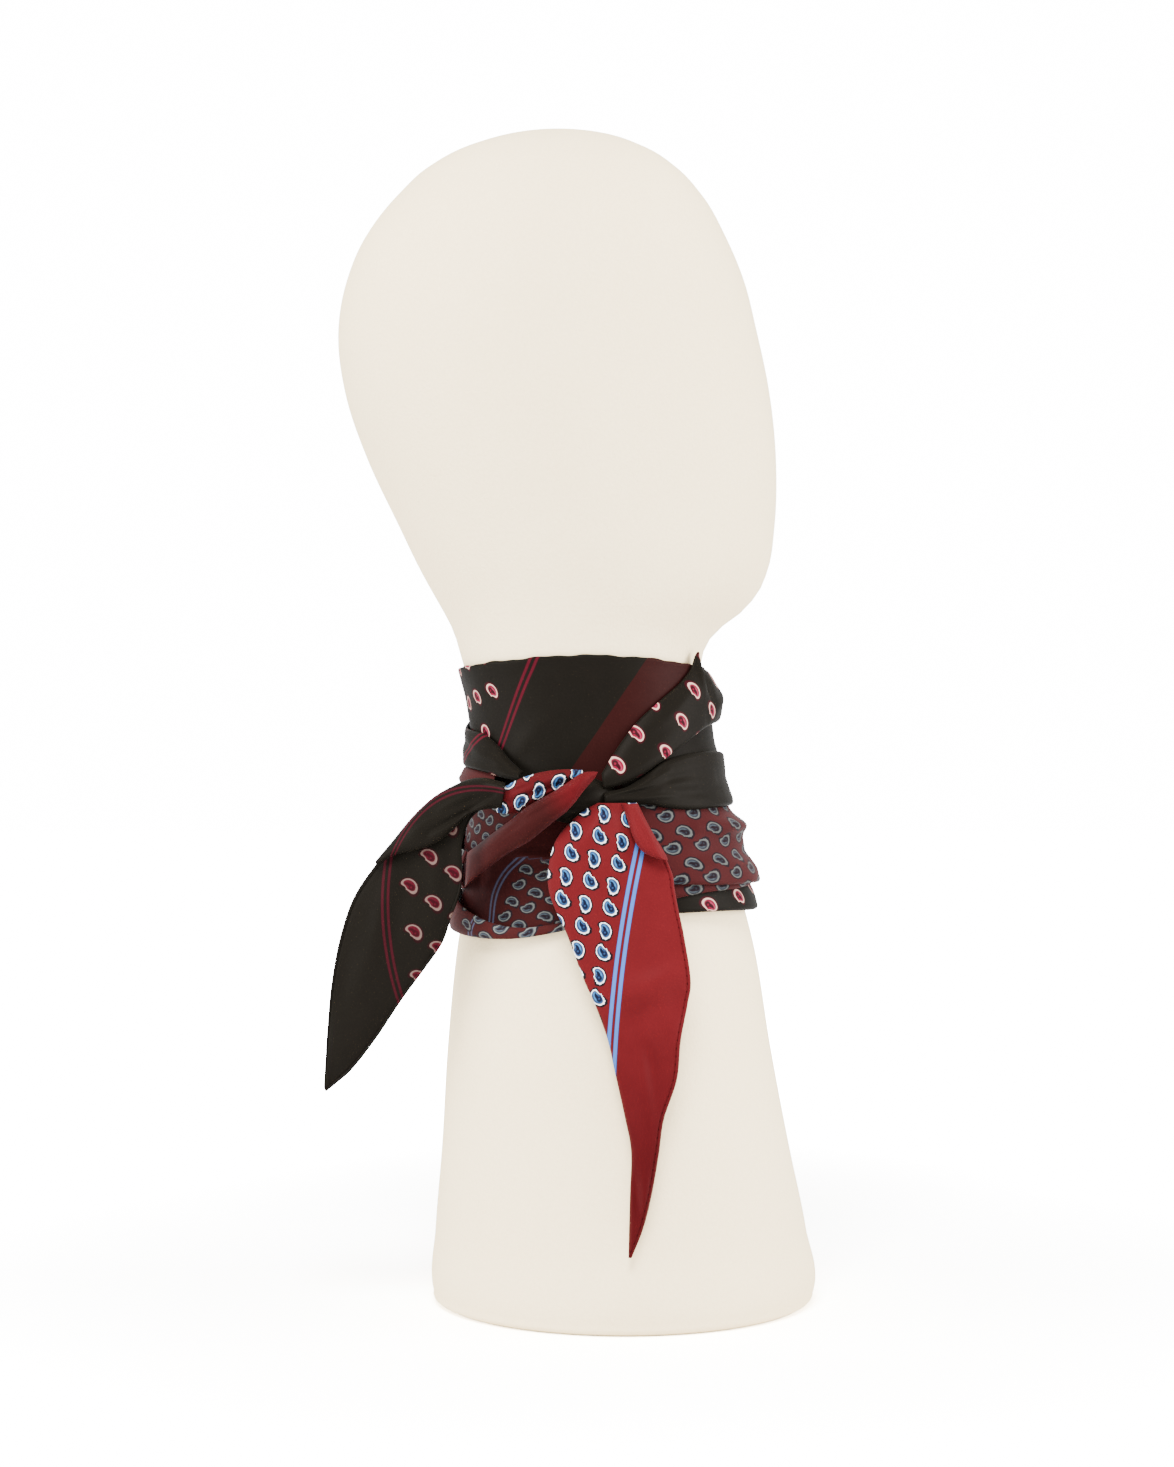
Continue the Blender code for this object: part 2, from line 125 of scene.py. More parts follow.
# Wound stretches: angle round the neck from the knot side, bottom and top
# heights, then how far the face stands out at the bottom, middle and top
NECK_WRAP = (
    (-180, 214, 287.5, 2, 2, 2.1),
    (-120, 214, 286.5, 2, 2.2, 2.5),
    (-90, 214, 286, 2, 2.6, 3.2),
    (-76, 214, 286.2, 2, 2.3, 3.2),
    (-39, 214, 288.4, 2, 2, 2.3),
    (0, 214, 290.6, 2, 2, 2.1),
    (36, 214, 289.2, 2, 2, 2.1),
    (63, 214, 286.9, 2, 2, 2.1),
    (90, 214, 286, 2, 2, 2),
    (180, 214, 287.5, 2, 2, 2.1),
)
BOTTOM_EDGE = (
    (6, 176.5, 198, 3, 3, 2.5),
    (26, 178, 198, 4.6, 4.6, 2.9),
    (50, 178.2, 198, 5.8, 5.8, 3.2),
    (76, 177.2, 198, 6.4, 6.2, 3.2),
    (95, 177, 198, 6, 6, 3),
    (130, 177.5, 198, 3.2, 3.2, 2.4),
    (180, 177, 198, 2.3, 2.3, 2.3),
    (225, 175, 196, 2.8, 2.8, 2.3),
    (248, 170.6, 190, 4.6, 4.8, 3),
    (262.4, 168.2, 184, 5.8, 6.2, 4.8),
)
UNDER_ROLL = (
    (8, 181.5, 192, 5.2, 5.2, 4.8),
    (26, 184.4, 193, 6.8, 7, 6.2),
    (38, 186.4, 194, 7.6, 7.8, 6.8),
    (60, 187.6, 194, 8.1, 8.1, 7.2),
    (74, 188.4, 194, 8.3, 8.3, 7.2),
)
LOWER_WRAP = (
    (9, 190.6, 228, 8.2, 6, 4.3),
    (26, 190.8, 228, 9.8, 7.4, 4.5),
    (48, 189.8, 228, 10.9, 8.2, 4.7),
    (76, 189.4, 228, 11.4, 8.2, 4.8),
    (95, 188.8, 228, 11, 8, 4.7),
    (130, 188.4, 228, 7.6, 5.8, 4),
    (180, 188, 229, 5.6, 4.2, 3.8),
    (225, 187, 228, 5.8, 4.6, 4.1),
    (250, 186.4, 224.5, 6.6, 5.6, 4.6),
    (262, 186.2, 221, 7.2, 6.8, 6),
    (272, 186.2, 214, 7.6, 8, 7.2),
    (283, 186.4, 207, 8.4, 9.4, 8.4),
    (298.6, 188, 204, 10, 11.6, 10),
)
GATHER = (
    (3, 223.6, 231, 11.5, 12.5, 11.3),
    (12, 225, 232.8, 9.6, 11.2, 9.4),
    (20, 225.4, 236.8, 8.6, 10, 8.2),
    (30, 223.8, 243, 8.2, 9, 8),
    (42, 222.8, 246.6, 8.2, 8.4, 8),
    (55, 223.2, 248.2, 8.2, 8, 8.2),
    (90, 223.8, 248, 8.2, 7.8, 8.2),
    (130, 222.8, 247, 7.4, 7.2, 7.4),
    (180, 222, 246, 6.3, 6.2, 6.3),
    (225, 224.6, 244.2, 6.8, 6.6, 6.5),
    (250, 227.6, 242.8, 7, 7, 6.8),
    (270, 230.2, 242.4, 7.8, 8.2, 5.4),
    (290, 231.6, 242.2, 8.6, 9, 6),
    (303, 230.8, 241.2, 9.4, 9.8, 6.6),
    (315, 229.6, 239.6, 9.6, 10.4, 7.4),
)
UNDER_FOLD = (
    (12, 231, 242, 5.2, 4.7, 4.2),
    (24, 236, 250, 5, 4.5, 4),
    (40, 243, 260, 5.4, 4.6, 4),
    (60, 244, 266, 5.7, 4.9, 4),
    (90, 244, 268, 5.8, 5, 4),
    (130, 243, 267, 4.6, 4.4, 4),
    (180, 242, 266, 3.9, 3.9, 3.9),
    (212, 241, 260, 3.9, 3.9, 3.9),
    (238, 240.5, 249.5, 3.2, 3.2, 3),
)
FRONT_FOLD = (
    (3, 232, 239, 10.6, 11.2, 9.8),
    (9, 233.4, 247.2, 9.4, 10.2, 7),
    (20, 237.8, 259, 8, 8.8, 4.2),
    (35, 246.2, 270.2, 7.2, 8, 4),
    (52, 254.8, 280.8, 6.9, 8.2, 4),
    (58.5, 257.2, 286.2, 7, 8.4, 4),
    (62.6, 258.4, 292.8, 7.1, 8.6, 4),
    (66.5, 259.4, 286.8, 7.3, 9, 3.9),
    (72, 260.2, 285.6, 7.4, 9.4, 3.8),
    (80, 261, 284.6, 7.5, 9.7, 3.8),
    (92, 261.4, 283.2, 7.5, 9.6, 3.8),
    (130, 260, 282.6, 6.7, 6.8, 3.9),
    (180, 256, 279, 6.2, 5.6, 4),
    (215, 250.8, 271.8, 6.2, 5.6, 4.2),
)
LEFT_BULGE = (
    (212.5, 251, 271.7, 6, 5.42, 4.02),
    (245, 246, 265, 6.2, 5.8, 4.9),
    (270, 241.8, 259.2, 6.4, 6.1, 5.1),
    (290, 240.6, 257.6, 7.6, 7.2, 5.2),
    (303, 239.6, 255.8, 8.8, 8.2, 5.1),
    (313, 238.2, 250.4, 9.8, 9.2, 5.1),
    (321, 236.6, 244.6, 11, 10.4, 6.4),
    (329, 235.4, 239.6, 11.4, 11.4, 8.6),
)

# Slack lower end: angle, heights of its turn, its rim's edge and its top, then
# how far the turn, the rim's edge, the wall and the top stand out
COWL = (
    (-104, 169.4, 183.8, 232, 4.6, 5.2, 2.1, 4.4),
    (-80, 168.6, 184.6, 232, 4.4, 5.9, 2.1, 4.4),
    (-68, 167.8, 180.4, 232, 4.8, 7.2, 2.1, 4.2),
    (-56, 167.1, 176.8, 232, 5, 7.8, 2.2, 3.8),
    (-44, 166.9, 173.2, 232, 5, 7.4, 2.4, 3.8),
    (-32, 167.8, 171.6, 232, 4.6, 6.2, 2.4, 3.8),
    (-22, 169.8, 172.8, 232, 4, 5, 2.4, 3.8),
    (-8, 173.8, 176.6, 232, 3.6, 4.4, 2.6, 3.8),
    (5, 177.8, 180.4, 230, 3.6, 4.4, 2.8, 3.8),
)

# Hanging and knotted stretches, seen from the knot side: across, height and
# depth towards the viewer of one edge, the same of the other, and the swell
RIGHT_TAIL = (
    (-12.3, 226.4, 66, 4.8, 226.4, 66, 2),
    (-20.5, 221.3, 69, 8, 220, 70, 3),
    (-29.9, 210.6, 71, 13.8, 209.8, 72, 5),
    (-33.3, 197.8, 72, 19.7, 197.1, 74, 5),
    (-32.9, 188.5, 73, 21, 189.4, 75, 4.5),
    (-29.9, 180, 74, 22.7, 180.1, 76, 4),
    (-25.2, 170.2, 75, 24.8, 170.3, 77, 3.5),
    (-18, 151.1, 77, 27.7, 151.2, 78, 3),
    (-13.2, 140.5, 78, 26.4, 140.7, 79, 3),
    (-7.8, 125.7, 79, 23.4, 125.9, 81, 2.5),
    (-4.8, 112.3, 81, 21.7, 109, 82, 2),
    (-0.5, 93, 83, 16.1, 92.3, 84, 2),
    (2.1, 78.8, 85, 13.9, 77.7, 86, 1.5),
    (1.6, 60.9, 87, 10.9, 60.9, 87, 1.5),
    (1.2, 46.3, 88, 7.1, 46.3, 88, 1),
    (0.9, 34.7, 89, 2.4, 34.7, 89, 0.5),
)
RIGHT_TAIL_ROLL = (
    (-2, 226, 71, 5.2, 226.4, 70, 2.5),
    (0.4, 220, 76, 8.4, 219.8, 75, 3),
    (2.4, 213.6, 79, 12.2, 212.8, 77, 3.2),
    (5.2, 208, 80, 15.6, 207.2, 78, 3),
    (9, 204.6, 80, 17.4, 204, 78, 2),
    (14, 202.8, 79, 18, 202.2, 78, 0.8),
)
LEFT_TAIL = (
    (-60.3, 233.4, 58.7, -60.3, 224.9, 58.7, 1),
    (-67.4, 233.4, 56.6, -67.3, 218.8, 57.6, 1),
    (-75.3, 230.3, 54.6, -70.9, 207.9, 57.6, 1.5),
    (-84.1, 225, 51.6, -70.7, 196.2, 57.4, 2),
    (-93, 217, 49.6, -71.9, 186.4, 56.4, 2.5),
    (-101.8, 207.2, 47.6, -75.6, 176.4, 54, 2.5),
    (-110.7, 197, 46, -79.6, 165, 52, 2.5),
    (-119.6, 183.3, 43, -87.4, 153.6, 50, 2.5),
    (-125.5, 165.6, 42, -97.4, 140, 47, 2.5),
    (-129.2, 145.7, 41, -109, 122.6, 44, 2),
    (-131.1, 125.8, 40, -119.6, 108.9, 42, 1.5),
    (-131.9, 112.6, 40, -126.7, 102.4, 40, 1),
    (-132.6, 100.7, 40, -131.5, 98.5, 40, 0.5),
)
LEFT_TAIL_FLAP = (
    (-51.8, 235, 66, -53.5, 224.2, 66, 2),
    (-60.2, 237.1, 64, -61.9, 223.3, 64, 2.5),
    (-67.2, 236.6, 61, -68, 221.1, 62, 2.5),
    (-75.1, 233.5, 59, -73.7, 215.4, 61, 2.5),
    (-83.9, 228.3, 56, -81.1, 209.3, 60, 2.5),
    (-92.8, 220, 54, -91.3, 205.3, 57, 2.5),
    (-101.6, 209.4, 52, -99.7, 203.4, 54, 1.5),
    (-109, 200.6, 50, -108.6, 199, 51, 0.5),
)
SASH = (
    (-11.9, 239.8, 69, -13.4, 236.8, 69, 0.8),
    (-14.5, 240, 73.5, -18, 231.6, 73, 2.2),
    (-19.2, 239.2, 76, -22, 226.4, 75, 3.5),
    (-26.4, 234.3, 75.8, -25.6, 222.6, 75, 4),
    (-34.1, 229.6, 75, -30.3, 218.8, 73, 4.5),
    (-41.9, 225.2, 71.8, -41.1, 210.1, 69.5, 5),
    (-48.9, 219.5, 66, -50.6, 204.4, 63, 5),
    (-57.7, 212.9, 57, -60.4, 197.1, 54, 4.5),
    (-65.9, 206.4, 44, -68.6, 190.4, 42.5, 3.5),
    (-69.6, 203.6, 35.8, -70.6, 188.2, 35.8, 2),
)
KNOT_FACE = (
    (-55.6, 221.9, 59.5, -56.9, 227.5, 59.5, 1),
    (-49.4, 221.4, 61.8, -52.8, 232.8, 63.8, 3),
    (-42.4, 223.4, 64.6, -47.5, 235.9, 67.8, 3.5),
    (-35.5, 227.2, 66.9, -41, 238.5, 70.4, 4),
    (-29.5, 230.2, 68.4, -33.7, 240.2, 71.2, 3.5),
    (-23, 232.6, 68.4, -26, 240.9, 70.2, 3),
    (-17, 234.9, 68.2, -18.7, 240.6, 69.2, 2),
)
KNOT_CORE = (
    (-47, 225, 51, -46, 231, 51, 1),
    (-43, 223, 59.5, -42, 233, 60.5, 1.5),
    (-35, 220, 63.3, -34, 236, 64.5, 2),
    (-26, 217.5, 64, -26, 238, 66.5, 2.5),
    (-17, 218, 64, -17, 238, 66, 2.5),
    (-10, 220.5, 62, -10, 235.5, 63, 1.5),
    (-4.5, 223.5, 56.5, -4.5, 232.5, 56.5, 1),
)

# Creases on wound stretches: angle and height at both ends, rise and spread
NECK_CREASES = (
    (3.7, 278, -1, 244, 0.5, 4),
    (9, 276, 6, 250, -0.5, 4),
    (-50, 240, -20, 262, 0.6, 4),
    (-80, 262, -58, 249, 0.8, 4),
    (-88, 272, -66, 276, -0.6, 5),
    (38, 262, 62, 281, 0.5, 4),
    (24, 284, 50, 286, -0.4, 4),
    (-30, 284, -6, 287, -0.35, 3),
    (118, 250, 152, 275, 0.8, 6),
    (100, 276, 140, 282, -0.5, 5),
    (156, 262, 178, 246, -0.6, 6),
    (-178, 279, -150, 250, 0.8, 6),
    (-160, 282, -128, 272, -0.5, 5),
    (-132, 262, -98, 250, 0.9, 5),
    (-118, 246, -100, 232, -0.5, 5),
)
BOTTOM_CREASES = (
    (10, 184, 60, 186, 0.6, 3),
    (60, 191, 100, 190, -0.4, 3),
    (104, 183, 160, 185, 0.7, 3),
    (150, 190, 200, 188, -0.4, 3),
    (172, 184, 214, 182, 0.5, 2.5),
    (206, 181, 250, 176, 0.8, 3),
)
LOWER_CREASES = (
    (44, 215.8, 106, 215.2, 5.2, 4),
    (40, 203.6, 110, 203.2, -1.4, 3),
    (22, 221, 58, 223.5, 0.5, 2.5),
    (18, 209, 46, 212, -0.5, 3),
    (24, 199, 60, 197, 0.6, 3),
    (64, 195, 104, 196, 0.8, 3),
    (112, 214, 170, 217, 1.8, 4),
    (118, 203, 176, 205, -0.8, 3),
    (138, 196, 226, 195, 1, 3),
    (176, 213, 246, 210, 1.5, 4),
    (196, 221, 240, 219, -0.6, 3),
    (216, 203, 262, 201, -0.7, 3),
    (240, 198, 292, 196, 1, 3),
)
COWL_CREASES = (
    (-39, 204.5, -12, 201.5, 1.6, 2),
    (-38, 200, -14, 197.5, -0.9, 2.2),
    (-64, 226, -30, 212, 0.9, 4),
    (-78, 200, -52, 212, -0.6, 4),
    (-42, 206, -14, 193, 0.9, 4.5),
    (-34, 196, -8, 184, -0.6, 4),
    (-60, 198, -50, 182, 0.7, 4),
    (-12, 216, 0, 190, 0.6, 4),
)
GATHER_CREASES = (
    (2, 228.5, 30, 236, 1, 1.2),
    (2, 227, 34, 229.5, 0.9, 1.2),
    (6, 229.5, 26, 232.6, -0.8, 0.9),
    (12, 231.8, 33, 240, 0.8, 1.2),
    (18, 233, 44, 238.5, -0.6, 1.5),
    (24, 233.5, 62, 235.5, 0.5, 2.2),
    (30, 230.5, 66, 230.5, -0.5, 2),
    (34, 241.5, 80, 243.5, 0.5, 2.5),
    (44, 226.5, 96, 228, 0.6, 2.5),
    (66, 237.5, 120, 236, -0.5, 3),
    (100, 231, 152, 236, 0.6, 4),
    (128, 243, 186, 240, -0.5, 3),
    (160, 229, 222, 233, 0.6, 3.5),
    (206, 240, 262, 238.5, 0.6, 2.5),
    (236, 233.5, 292, 234.2, -0.6, 1.6),
    (262, 237, 312, 233.4, 0.7, 1.5),
)
UNDER_CREASES = (
    (24, 244, 58, 256, 0.5, 3),
    (64, 252, 112, 255, -0.4, 4),
    (116, 252, 176, 256, 0.4, 4),
)
FRONT_CREASES = (
    (8, 236.5, 35, 248.6, 0.7, 2.2),
    (35, 248.6, 60, 259.6, 0.7, 2.2),
    (14, 246, 40, 262, -0.5, 3),
    (34, 262, 56, 277, 0.7, 3),
    (62.6, 290, 69, 268, -1.3, 2.6),
    (60, 272, 62.6, 291, 0.8, 1.6),
    (72, 268, 92, 276, 0.9, 3),
    (80, 280, 120, 277, -0.6, 3),
    (108, 267, 160, 263, 0.8, 4),
    (120, 275, 196, 268, -0.7, 4),
    (150, 277, 212, 268, 0.6, 3),
    (170, 262, 214, 256, 0.7, 3),
)
BULGE_CREASES = (
    (218, 268, 262, 260, 0.6, 3),
    (218, 256, 290, 247, 0.8, 3.5),
    (262, 254, 312, 248, -0.7, 2.2),
    (288, 252.5, 322, 243, 0.8, 2),
    (270, 244.5, 322, 239, 0.6, 1.8),
)

# Creases on hanging stretches: across and height at both ends, rise, spread
RIGHT_CREASES = (
    (-6, 226, -24, 204, 0.9, 3.2),
    (-8, 225, -14, 198, -1, 3),
    (-3, 226, -2, 196, 0.8, 3.2),
    (2, 224, 8, 204, -0.9, 3),
    (-30, 202, -22, 176, 0.9, 4),
    (-6, 143, 30, 157, 2.2, 6),
    (-4, 132, 28, 143, -1.4, 5),
    (2, 140, 16, 108, -1.8, 5),
    (12, 150, 22, 122, 1.4, 5),
    (4, 128, 10, 84, 1, 4),
    (10, 124, 14, 96, -1.2, 3.5),
    (-6, 150, -2, 112, 0.8, 4),
    (3.2, 72, 5.2, 50, -1.6, 2),
    (8.5, 72, 7.4, 48, 0.8, 1.8),
)
LEFT_CREASES = (
    (-98, 204, -112, 150, 1.2, 5),
    (-96, 198, -104, 160, -1.3, 5),
    (-80, 200, -86, 160, 1, 5),
    (-120, 168, -126, 128, -0.8, 5),
    (-106, 142, -122, 112, 1, 5),
    (-76, 208, -78, 186, -1, 3),
)
FLAP_CREASES = (
    (-56, 231, -84, 221, -1.2, 1.6),
    (-62, 234, -92, 215, 1, 2.4),
    (-60, 226, -82, 213, 1, 2.2),
    (-70, 228, -74, 217, 0.4, 3),
    (-57, 229.5, -86, 213, -1.8, 1.2),
    (-58, 226.5, -84, 211, 0.8, 1.6),
)
SASH_CREASES = (
    (-24, 231.5, -62, 207.8, -1.3, 1.7),
    (-38.9, 223.4, -66, 201.5, 1, 2.4),
    (-17, 235.5, -40, 224, 0.8, 1.8),
    (-34, 216.8, -64, 194.6, 0.6, 2),
)
KNOT_CREASES = (
    (-19, 237.6, -50, 227, -1.6, 1.1),
    (-20, 239.4, -46, 233.6, 0.8, 1.4),
    (-24, 235, -46, 225.4, 0.9, 1.4),
    (-36, 236.6, -52, 230.2, -0.8, 1),
)
CORE_CREASES = (
    (-14, 226, -32, 224, -1.2, 1.2),
    (-14, 222.5, -30, 220.5, 0.7, 1.2),
)
ROLL_CREASES = (
    (3, 224, 11, 206, -1, 1.4),
    (7, 222, 14, 208, 0.7, 1.6),
)


# Reading of the tables, and the rise of creases and edges

def smooth(rows, at):
    """Read every column of a table smoothly at values of its first column."""
    table = np.array(rows, dtype=float)
    keys = table[:, 0]
    slope = np.gradient(table, keys, axis=0)
    at = np.clip(at, keys[0], keys[-1])
    i = np.clip(np.searchsorted(keys, at, side="right") - 1, 0, len(keys) - 2)
    span = (keys[i + 1] - keys[i])[:, None]
    t = (at[:, None] - keys[i][:, None]) / span
    start = table[i] * (1 + 2 * t) * (1 - t) ** 2
    leave = slope[i] * span * t * (1 - t) ** 2
    end = table[i + 1] * t * t * (3 - 2 * t)
    arrive = slope[i + 1] * span * t * t * (t - 1)
    return start + leave + end + arrive


def numbered(rows):
    """Number a table's rows, so that it is read by position along the stretch."""
    return [(number,) + tuple(row) for number, row in enumerate(rows)]


def crease_rise(first, second, creases):
    """Sum of soft ridges and troughs, each along a line between two points."""
    rise = np.zeros_like(first)
    for first_a, second_a, first_b, second_b, lift, spread in creases:
        along = np.array((first_b - first_a, second_b - second_a), dtype=float)
        reach = np.stack((first - first_a, second - second_a), axis=-1)
        place = np.clip(reach @ along / (along @ along), 0, 1)
        gap = np.linalg.norm(reach - place[:, None] * along, axis=-1)
        # a crease is strongest in its middle
        fade = CREASE_ENDS + (1 - CREASE_ENDS) * np.sin(np.pi * place)
        rise += lift * fade * np.exp(-(gap / spread) ** 2)
    return rise


def turned_in(distance, radius):
    """How far a rounded fold has turned in at a distance from its edge."""
    short = np.clip(radius - distance, 0, radius)
    return radius - np.sqrt(np.maximum(radius ** 2 - short ** 2, 0))


def soft_line(distance, rise, middle, spread):
    """A soft ridge or groove that runs along an edge, at a distance from it."""
    return rise * np.exp(-((distance - middle) / spread) ** 2)


def hem_rise(distance):
    """A rolled hem at an edge: a small bead, and the groove of its stitches."""
    return soft_line(distance, *BEAD) + soft_line(distance, *GROOVE)


def eased(share):
    """A share from 0 to 1 that moves slowly near both ends."""
    return 0.5 - 0.5 * np.cos(np.pi * share)


# Surfaces: each gives points, and the flat place of each point on the cloth.
# Some also give its edge place: the distance in from a hem, and what the painted
# shade or light of the silk follows.

def on_neck(angle, height, stand):
    """A point at an angle round the form, standing out from its surface."""
    section = smooth(FORM, height)
    back, front, half = section[:, 1], section[:, 2], section[:, 3]
    turn = np.radians(angle)
    reach = (front - back) / 2 + stand
    across = (front + back) / 2 + reach * np.sin(turn)
    depth = (half + stand) * np.cos(turn)
    return np.stack((across, -depth, height), axis=-1)


def wound(rows, creases, rolls, waver=0):
    """A stretch wound on the neck: u goes round it, v from bottom to top.

    The rolls are the radii of its bottom and top edges, and the waver is how
    unevenly the top edge runs.
    """
    def place(u, v):
        angle = rows[0][0] + u * (rows[-1][0] - rows[0][0])
        v = eased(v)
        _, bottom, top, low, middle, high = smooth(rows, angle).T
        turn = np.radians(angle)
        top = top + waver * sum(size * np.sin(beats * turn + begin) for beats, size, begin in WAVES)
        height = bottom + v * (top - bottom)
        stand = low * (1 - v) + high * v
        stand += (middle - (low + high) / 2) * 4 * v * (1 - v)
        stand += crease_rise(angle, height, creases)
        stand -= turned_in(height - bottom, rolls[0])
        stand -= turned_in(top - height, rolls[1])
        return on_neck(angle, height, stand), np.stack((turn * ARC, height), axis=-1)
    return place


def cowl(rows, creases):
    """The slack lower end: a back wall that turns under into an outer rim."""
    def place(u, v):
        angle = rows[0][0] + u * (rows[-1][0] - rows[0][0])
        row = smooth(rows, angle).T
        _, bottom, lip, top, turn_out, lip_out, wall_out, top_out = row
        # v comes down the rim first, turns under and then climbs the back wall
        rim = np.clip(v / RIM_SHARE, 0, 1)
        wall = np.clip((v - RIM_SHARE) / (1 - RIM_SHARE), 0, 1)
        rim_height = lip + (bottom - lip) * np.sin(rim * np.pi / 2)
        rim_stand = turn_out + (lip_out - turn_out) * np.cos(rim * np.pi / 2)
        rim_stand -= turned_in(lip - rim_height, RIM_ROLL) * (rim < 0.5)
        wall_height = bottom + (top - bottom) * wall
        swing = np.clip(wall / RIM_TURN, 0, 1)
        settle = turn_out + (wall_out - turn_out) * swing * (2 - swing)
        rising = np.clip((wall - WALL_RISE[0]) / (WALL_RISE[1] - WALL_RISE[0]), 0, 1)
        wall_stand = settle + (top_out - wall_out) * rising
        wall_stand += crease_rise(angle, wall_height, creases) * np.minimum(swing, rising + LOW_CREASES)
        on_rim = v < RIM_SHARE
        height = np.where(on_rim, rim_height, wall_height)
        stand = np.where(on_rim, rim_stand, wall_stand)
        printed = np.where(on_rim, 2 * bottom - rim_height, wall_height)
        arc = np.radians(angle) * ARC
        # the rim and the part behind the sash come from elsewhere on the print
        arc = np.where(on_rim, arc + RIM_SHIFT, arc)
        behind = ~on_rim & (wall_height > BEHIND_SASH[0] + BEHIND_SASH[1] * arc)
        folded = ~on_rim & ~behind & (arc > FOLD_END)
        folded &= wall_height > FOLD_LINE[0] + FOLD_LINE[1] * arc
        arc = np.where(behind, arc - BEHIND_SHIFT, arc)
        # the fold under the sash shows a plain part of the print, which is also painted shade where the
        # sash's shadow falls
        arc = np.where(folded, FOLD_PRINT[0] + FOLD_PRINT[1] * arc, arc)
        printed = np.where(folded, FOLD_PRINT[2] + FOLD_PRINT[3] * printed, printed)
        # the rim's level gives it painted light, the wall's none
        level = np.where(on_rim, RIM_LIGHT_LEVEL, WALL_LEVEL)
        edge = np.stack((np.full_like(v, UNHEMMED), level), axis=-1)
        return on_neck(angle, height, stand), np.stack((arc, printed), axis=-1), edge
    return place


def ribbon(rows, creases, rolls, fullness=2, hems=(0, 0), by_height=True):
    """A hanging stretch: u runs along it, v from its first edge to its second.

    The rolls are the radii of its two edges, the fullness is how square its
    swell is, and the hems say which edges are hemmed. Its painted shade or
    light follows the height, or else the place across.
    """
    def place(u, v):
        row = smooth(numbered(rows), u * (len(rows) - 1)).T
        _, x_a, z_a, depth_a, x_b, z_b, depth_b, swell = row
        v = eased(v)
        across = x_a * (1 - v) + x_b * v
        height = z_a * (1 - v) + z_b * v
        width = np.hypot(x_b - x_a, z_b - z_a)
        depth = depth_a * (1 - v) + depth_b * v
        depth += swell * (1 - np.abs(2 * v - 1) ** fullness)
        depth += crease_rise(across, height, creases) * np.clip(width / CREASE_WIDTH, 0, 1)
        fits = np.clip((width - HEM_FITS[0]) / (HEM_FITS[1] - HEM_FITS[0]), 0, 1)
        inward = np.full_like(v, UNHEMMED)
        for distance, roll, hem in zip((v * width, (1 - v) * width), rolls, hems):
            depth -= turned_in(distance, np.minimum(roll, ROLL_SHARE * width))
            depth += hem * fits * hem_rise(distance)
            if hem:
                inward = np.minimum(inward, distance)
        flat = np.stack((across, height), axis=-1)
        edge = np.stack((inward, height if by_height else across), axis=-1)
        return np.stack((across, -depth, height), axis=-1), flat, edge
    return place


def form_surface(u, v):
    """The head form: u goes round it, v from the centre of its base to its crown."""
    turn = 2 * np.pi * u
    base, crown = FORM[0][0], FORM[-1][0]
    height = base + (crown - base) * eased(np.clip(v * (1 + 2 * END_SHARE) - END_SHARE, 0, 1))
    section = smooth(FORM, height)
    back, front, half, narrowing = section[:, 1:].T
    closing = np.clip(np.minimum(v, 1 - v) / END_SHARE, 0, 1)
    middle, reach = (front + back) / 2, (front - back) / 2 * closing
    across = middle + reach * np.sin(turn)
    depth = half * closing * np.cos(turn) * (1 - narrowing * np.maximum(0, np.sin(turn)))
    points = np.stack((across, -depth, height), axis=-1)
    return points, np.stack((across, height), axis=-1)


# Meshes

def printed_at(flat, turn, across, along, bow):
    """Turn a flat place on the cloth into the print's own place, in millimetres."""
    angle = np.radians(turn)
    x = flat[:, 0] - across
    y = flat[:, 1] - along
    right = x * np.cos(angle) + y * np.sin(angle)
    up = y * np.cos(angle) - x * np.sin(angle)
    return np.stack((right + bow * up ** 2, up * (1 - 2 * bow * right)), axis=-1)


def grid(name, counts, size):
    """A flat square mesh of faces in rows."""
    shape = bmesh.new()
    bmesh.ops.create_grid(shape, x_segments=counts[0], y_segments=counts[1], size=size)
    mesh = bpy.data.meshes.new(name)
    shape.to_mesh(mesh)
    shape.free()
    return mesh


def surface(name, place, counts, printing=(0, 0, 0, 0), weld=False):
    """A grid whose points are put where place(u, v) says, with its maps.

    A weld joins the points that meet where it goes all the way round.
    """
    mesh = grid(name, counts, 0.5)
    points = np.empty(len(mesh.vertices) * 3)
    mesh.vertices.foreach_get("co", points)
    points = points.reshape(-1, 3) + 0.5
    where, flat, *edge = place(points[:, 0], points[:, 1])
    mesh.vertices.foreach_set("co", (where * MM).ravel())
    corners = np.empty(len(mesh.loops), dtype=np.int32)
    mesh.loops.foreach_get("vertex_index", corners)
    for title, values in zip(("print", "edge"), (printed_at(flat, *printing), *edge)):
        layer = mesh.uv_layers.new(name=title)
        layer.data.foreach_set("uv", (values * MM)[corners].ravel())
    if weld:
        shape = bmesh.new()
        shape.from_mesh(mesh)
        bmesh.ops.remove_doubles(shape, verts=shape.verts, dist=0.01 * MM)
        shape.to_mesh(mesh)
        shape.free()
    mesh.shade_smooth()
    mesh.update()
    return mesh


def stand_for(name, mesh, look, node):
    """Link a mesh as a piece that rides on the form and takes a node's place."""
    mesh.materials.append(look)
    piece = bpy.data.objects.new(name, mesh)
    bpy.context.collection.objects.link(piece)
    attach(piece, "root")
    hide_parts(node)
    return piece


def shell(piece):
    """Give a surface its cloth thickness, behind its outer face."""
    wall = piece.modifiers.new("cloth", "SOLIDIFY")
    wall.thickness = SHELL * MM
    wall.offset = -1


# Node building

def link(tree, value, socket):
    """Put a number, a row of numbers or another node's output into a socket."""
    if isinstance(value, bpy.types.NodeSocket):
        tree.links.new(value, socket)
    else:
        socket.default_value = value


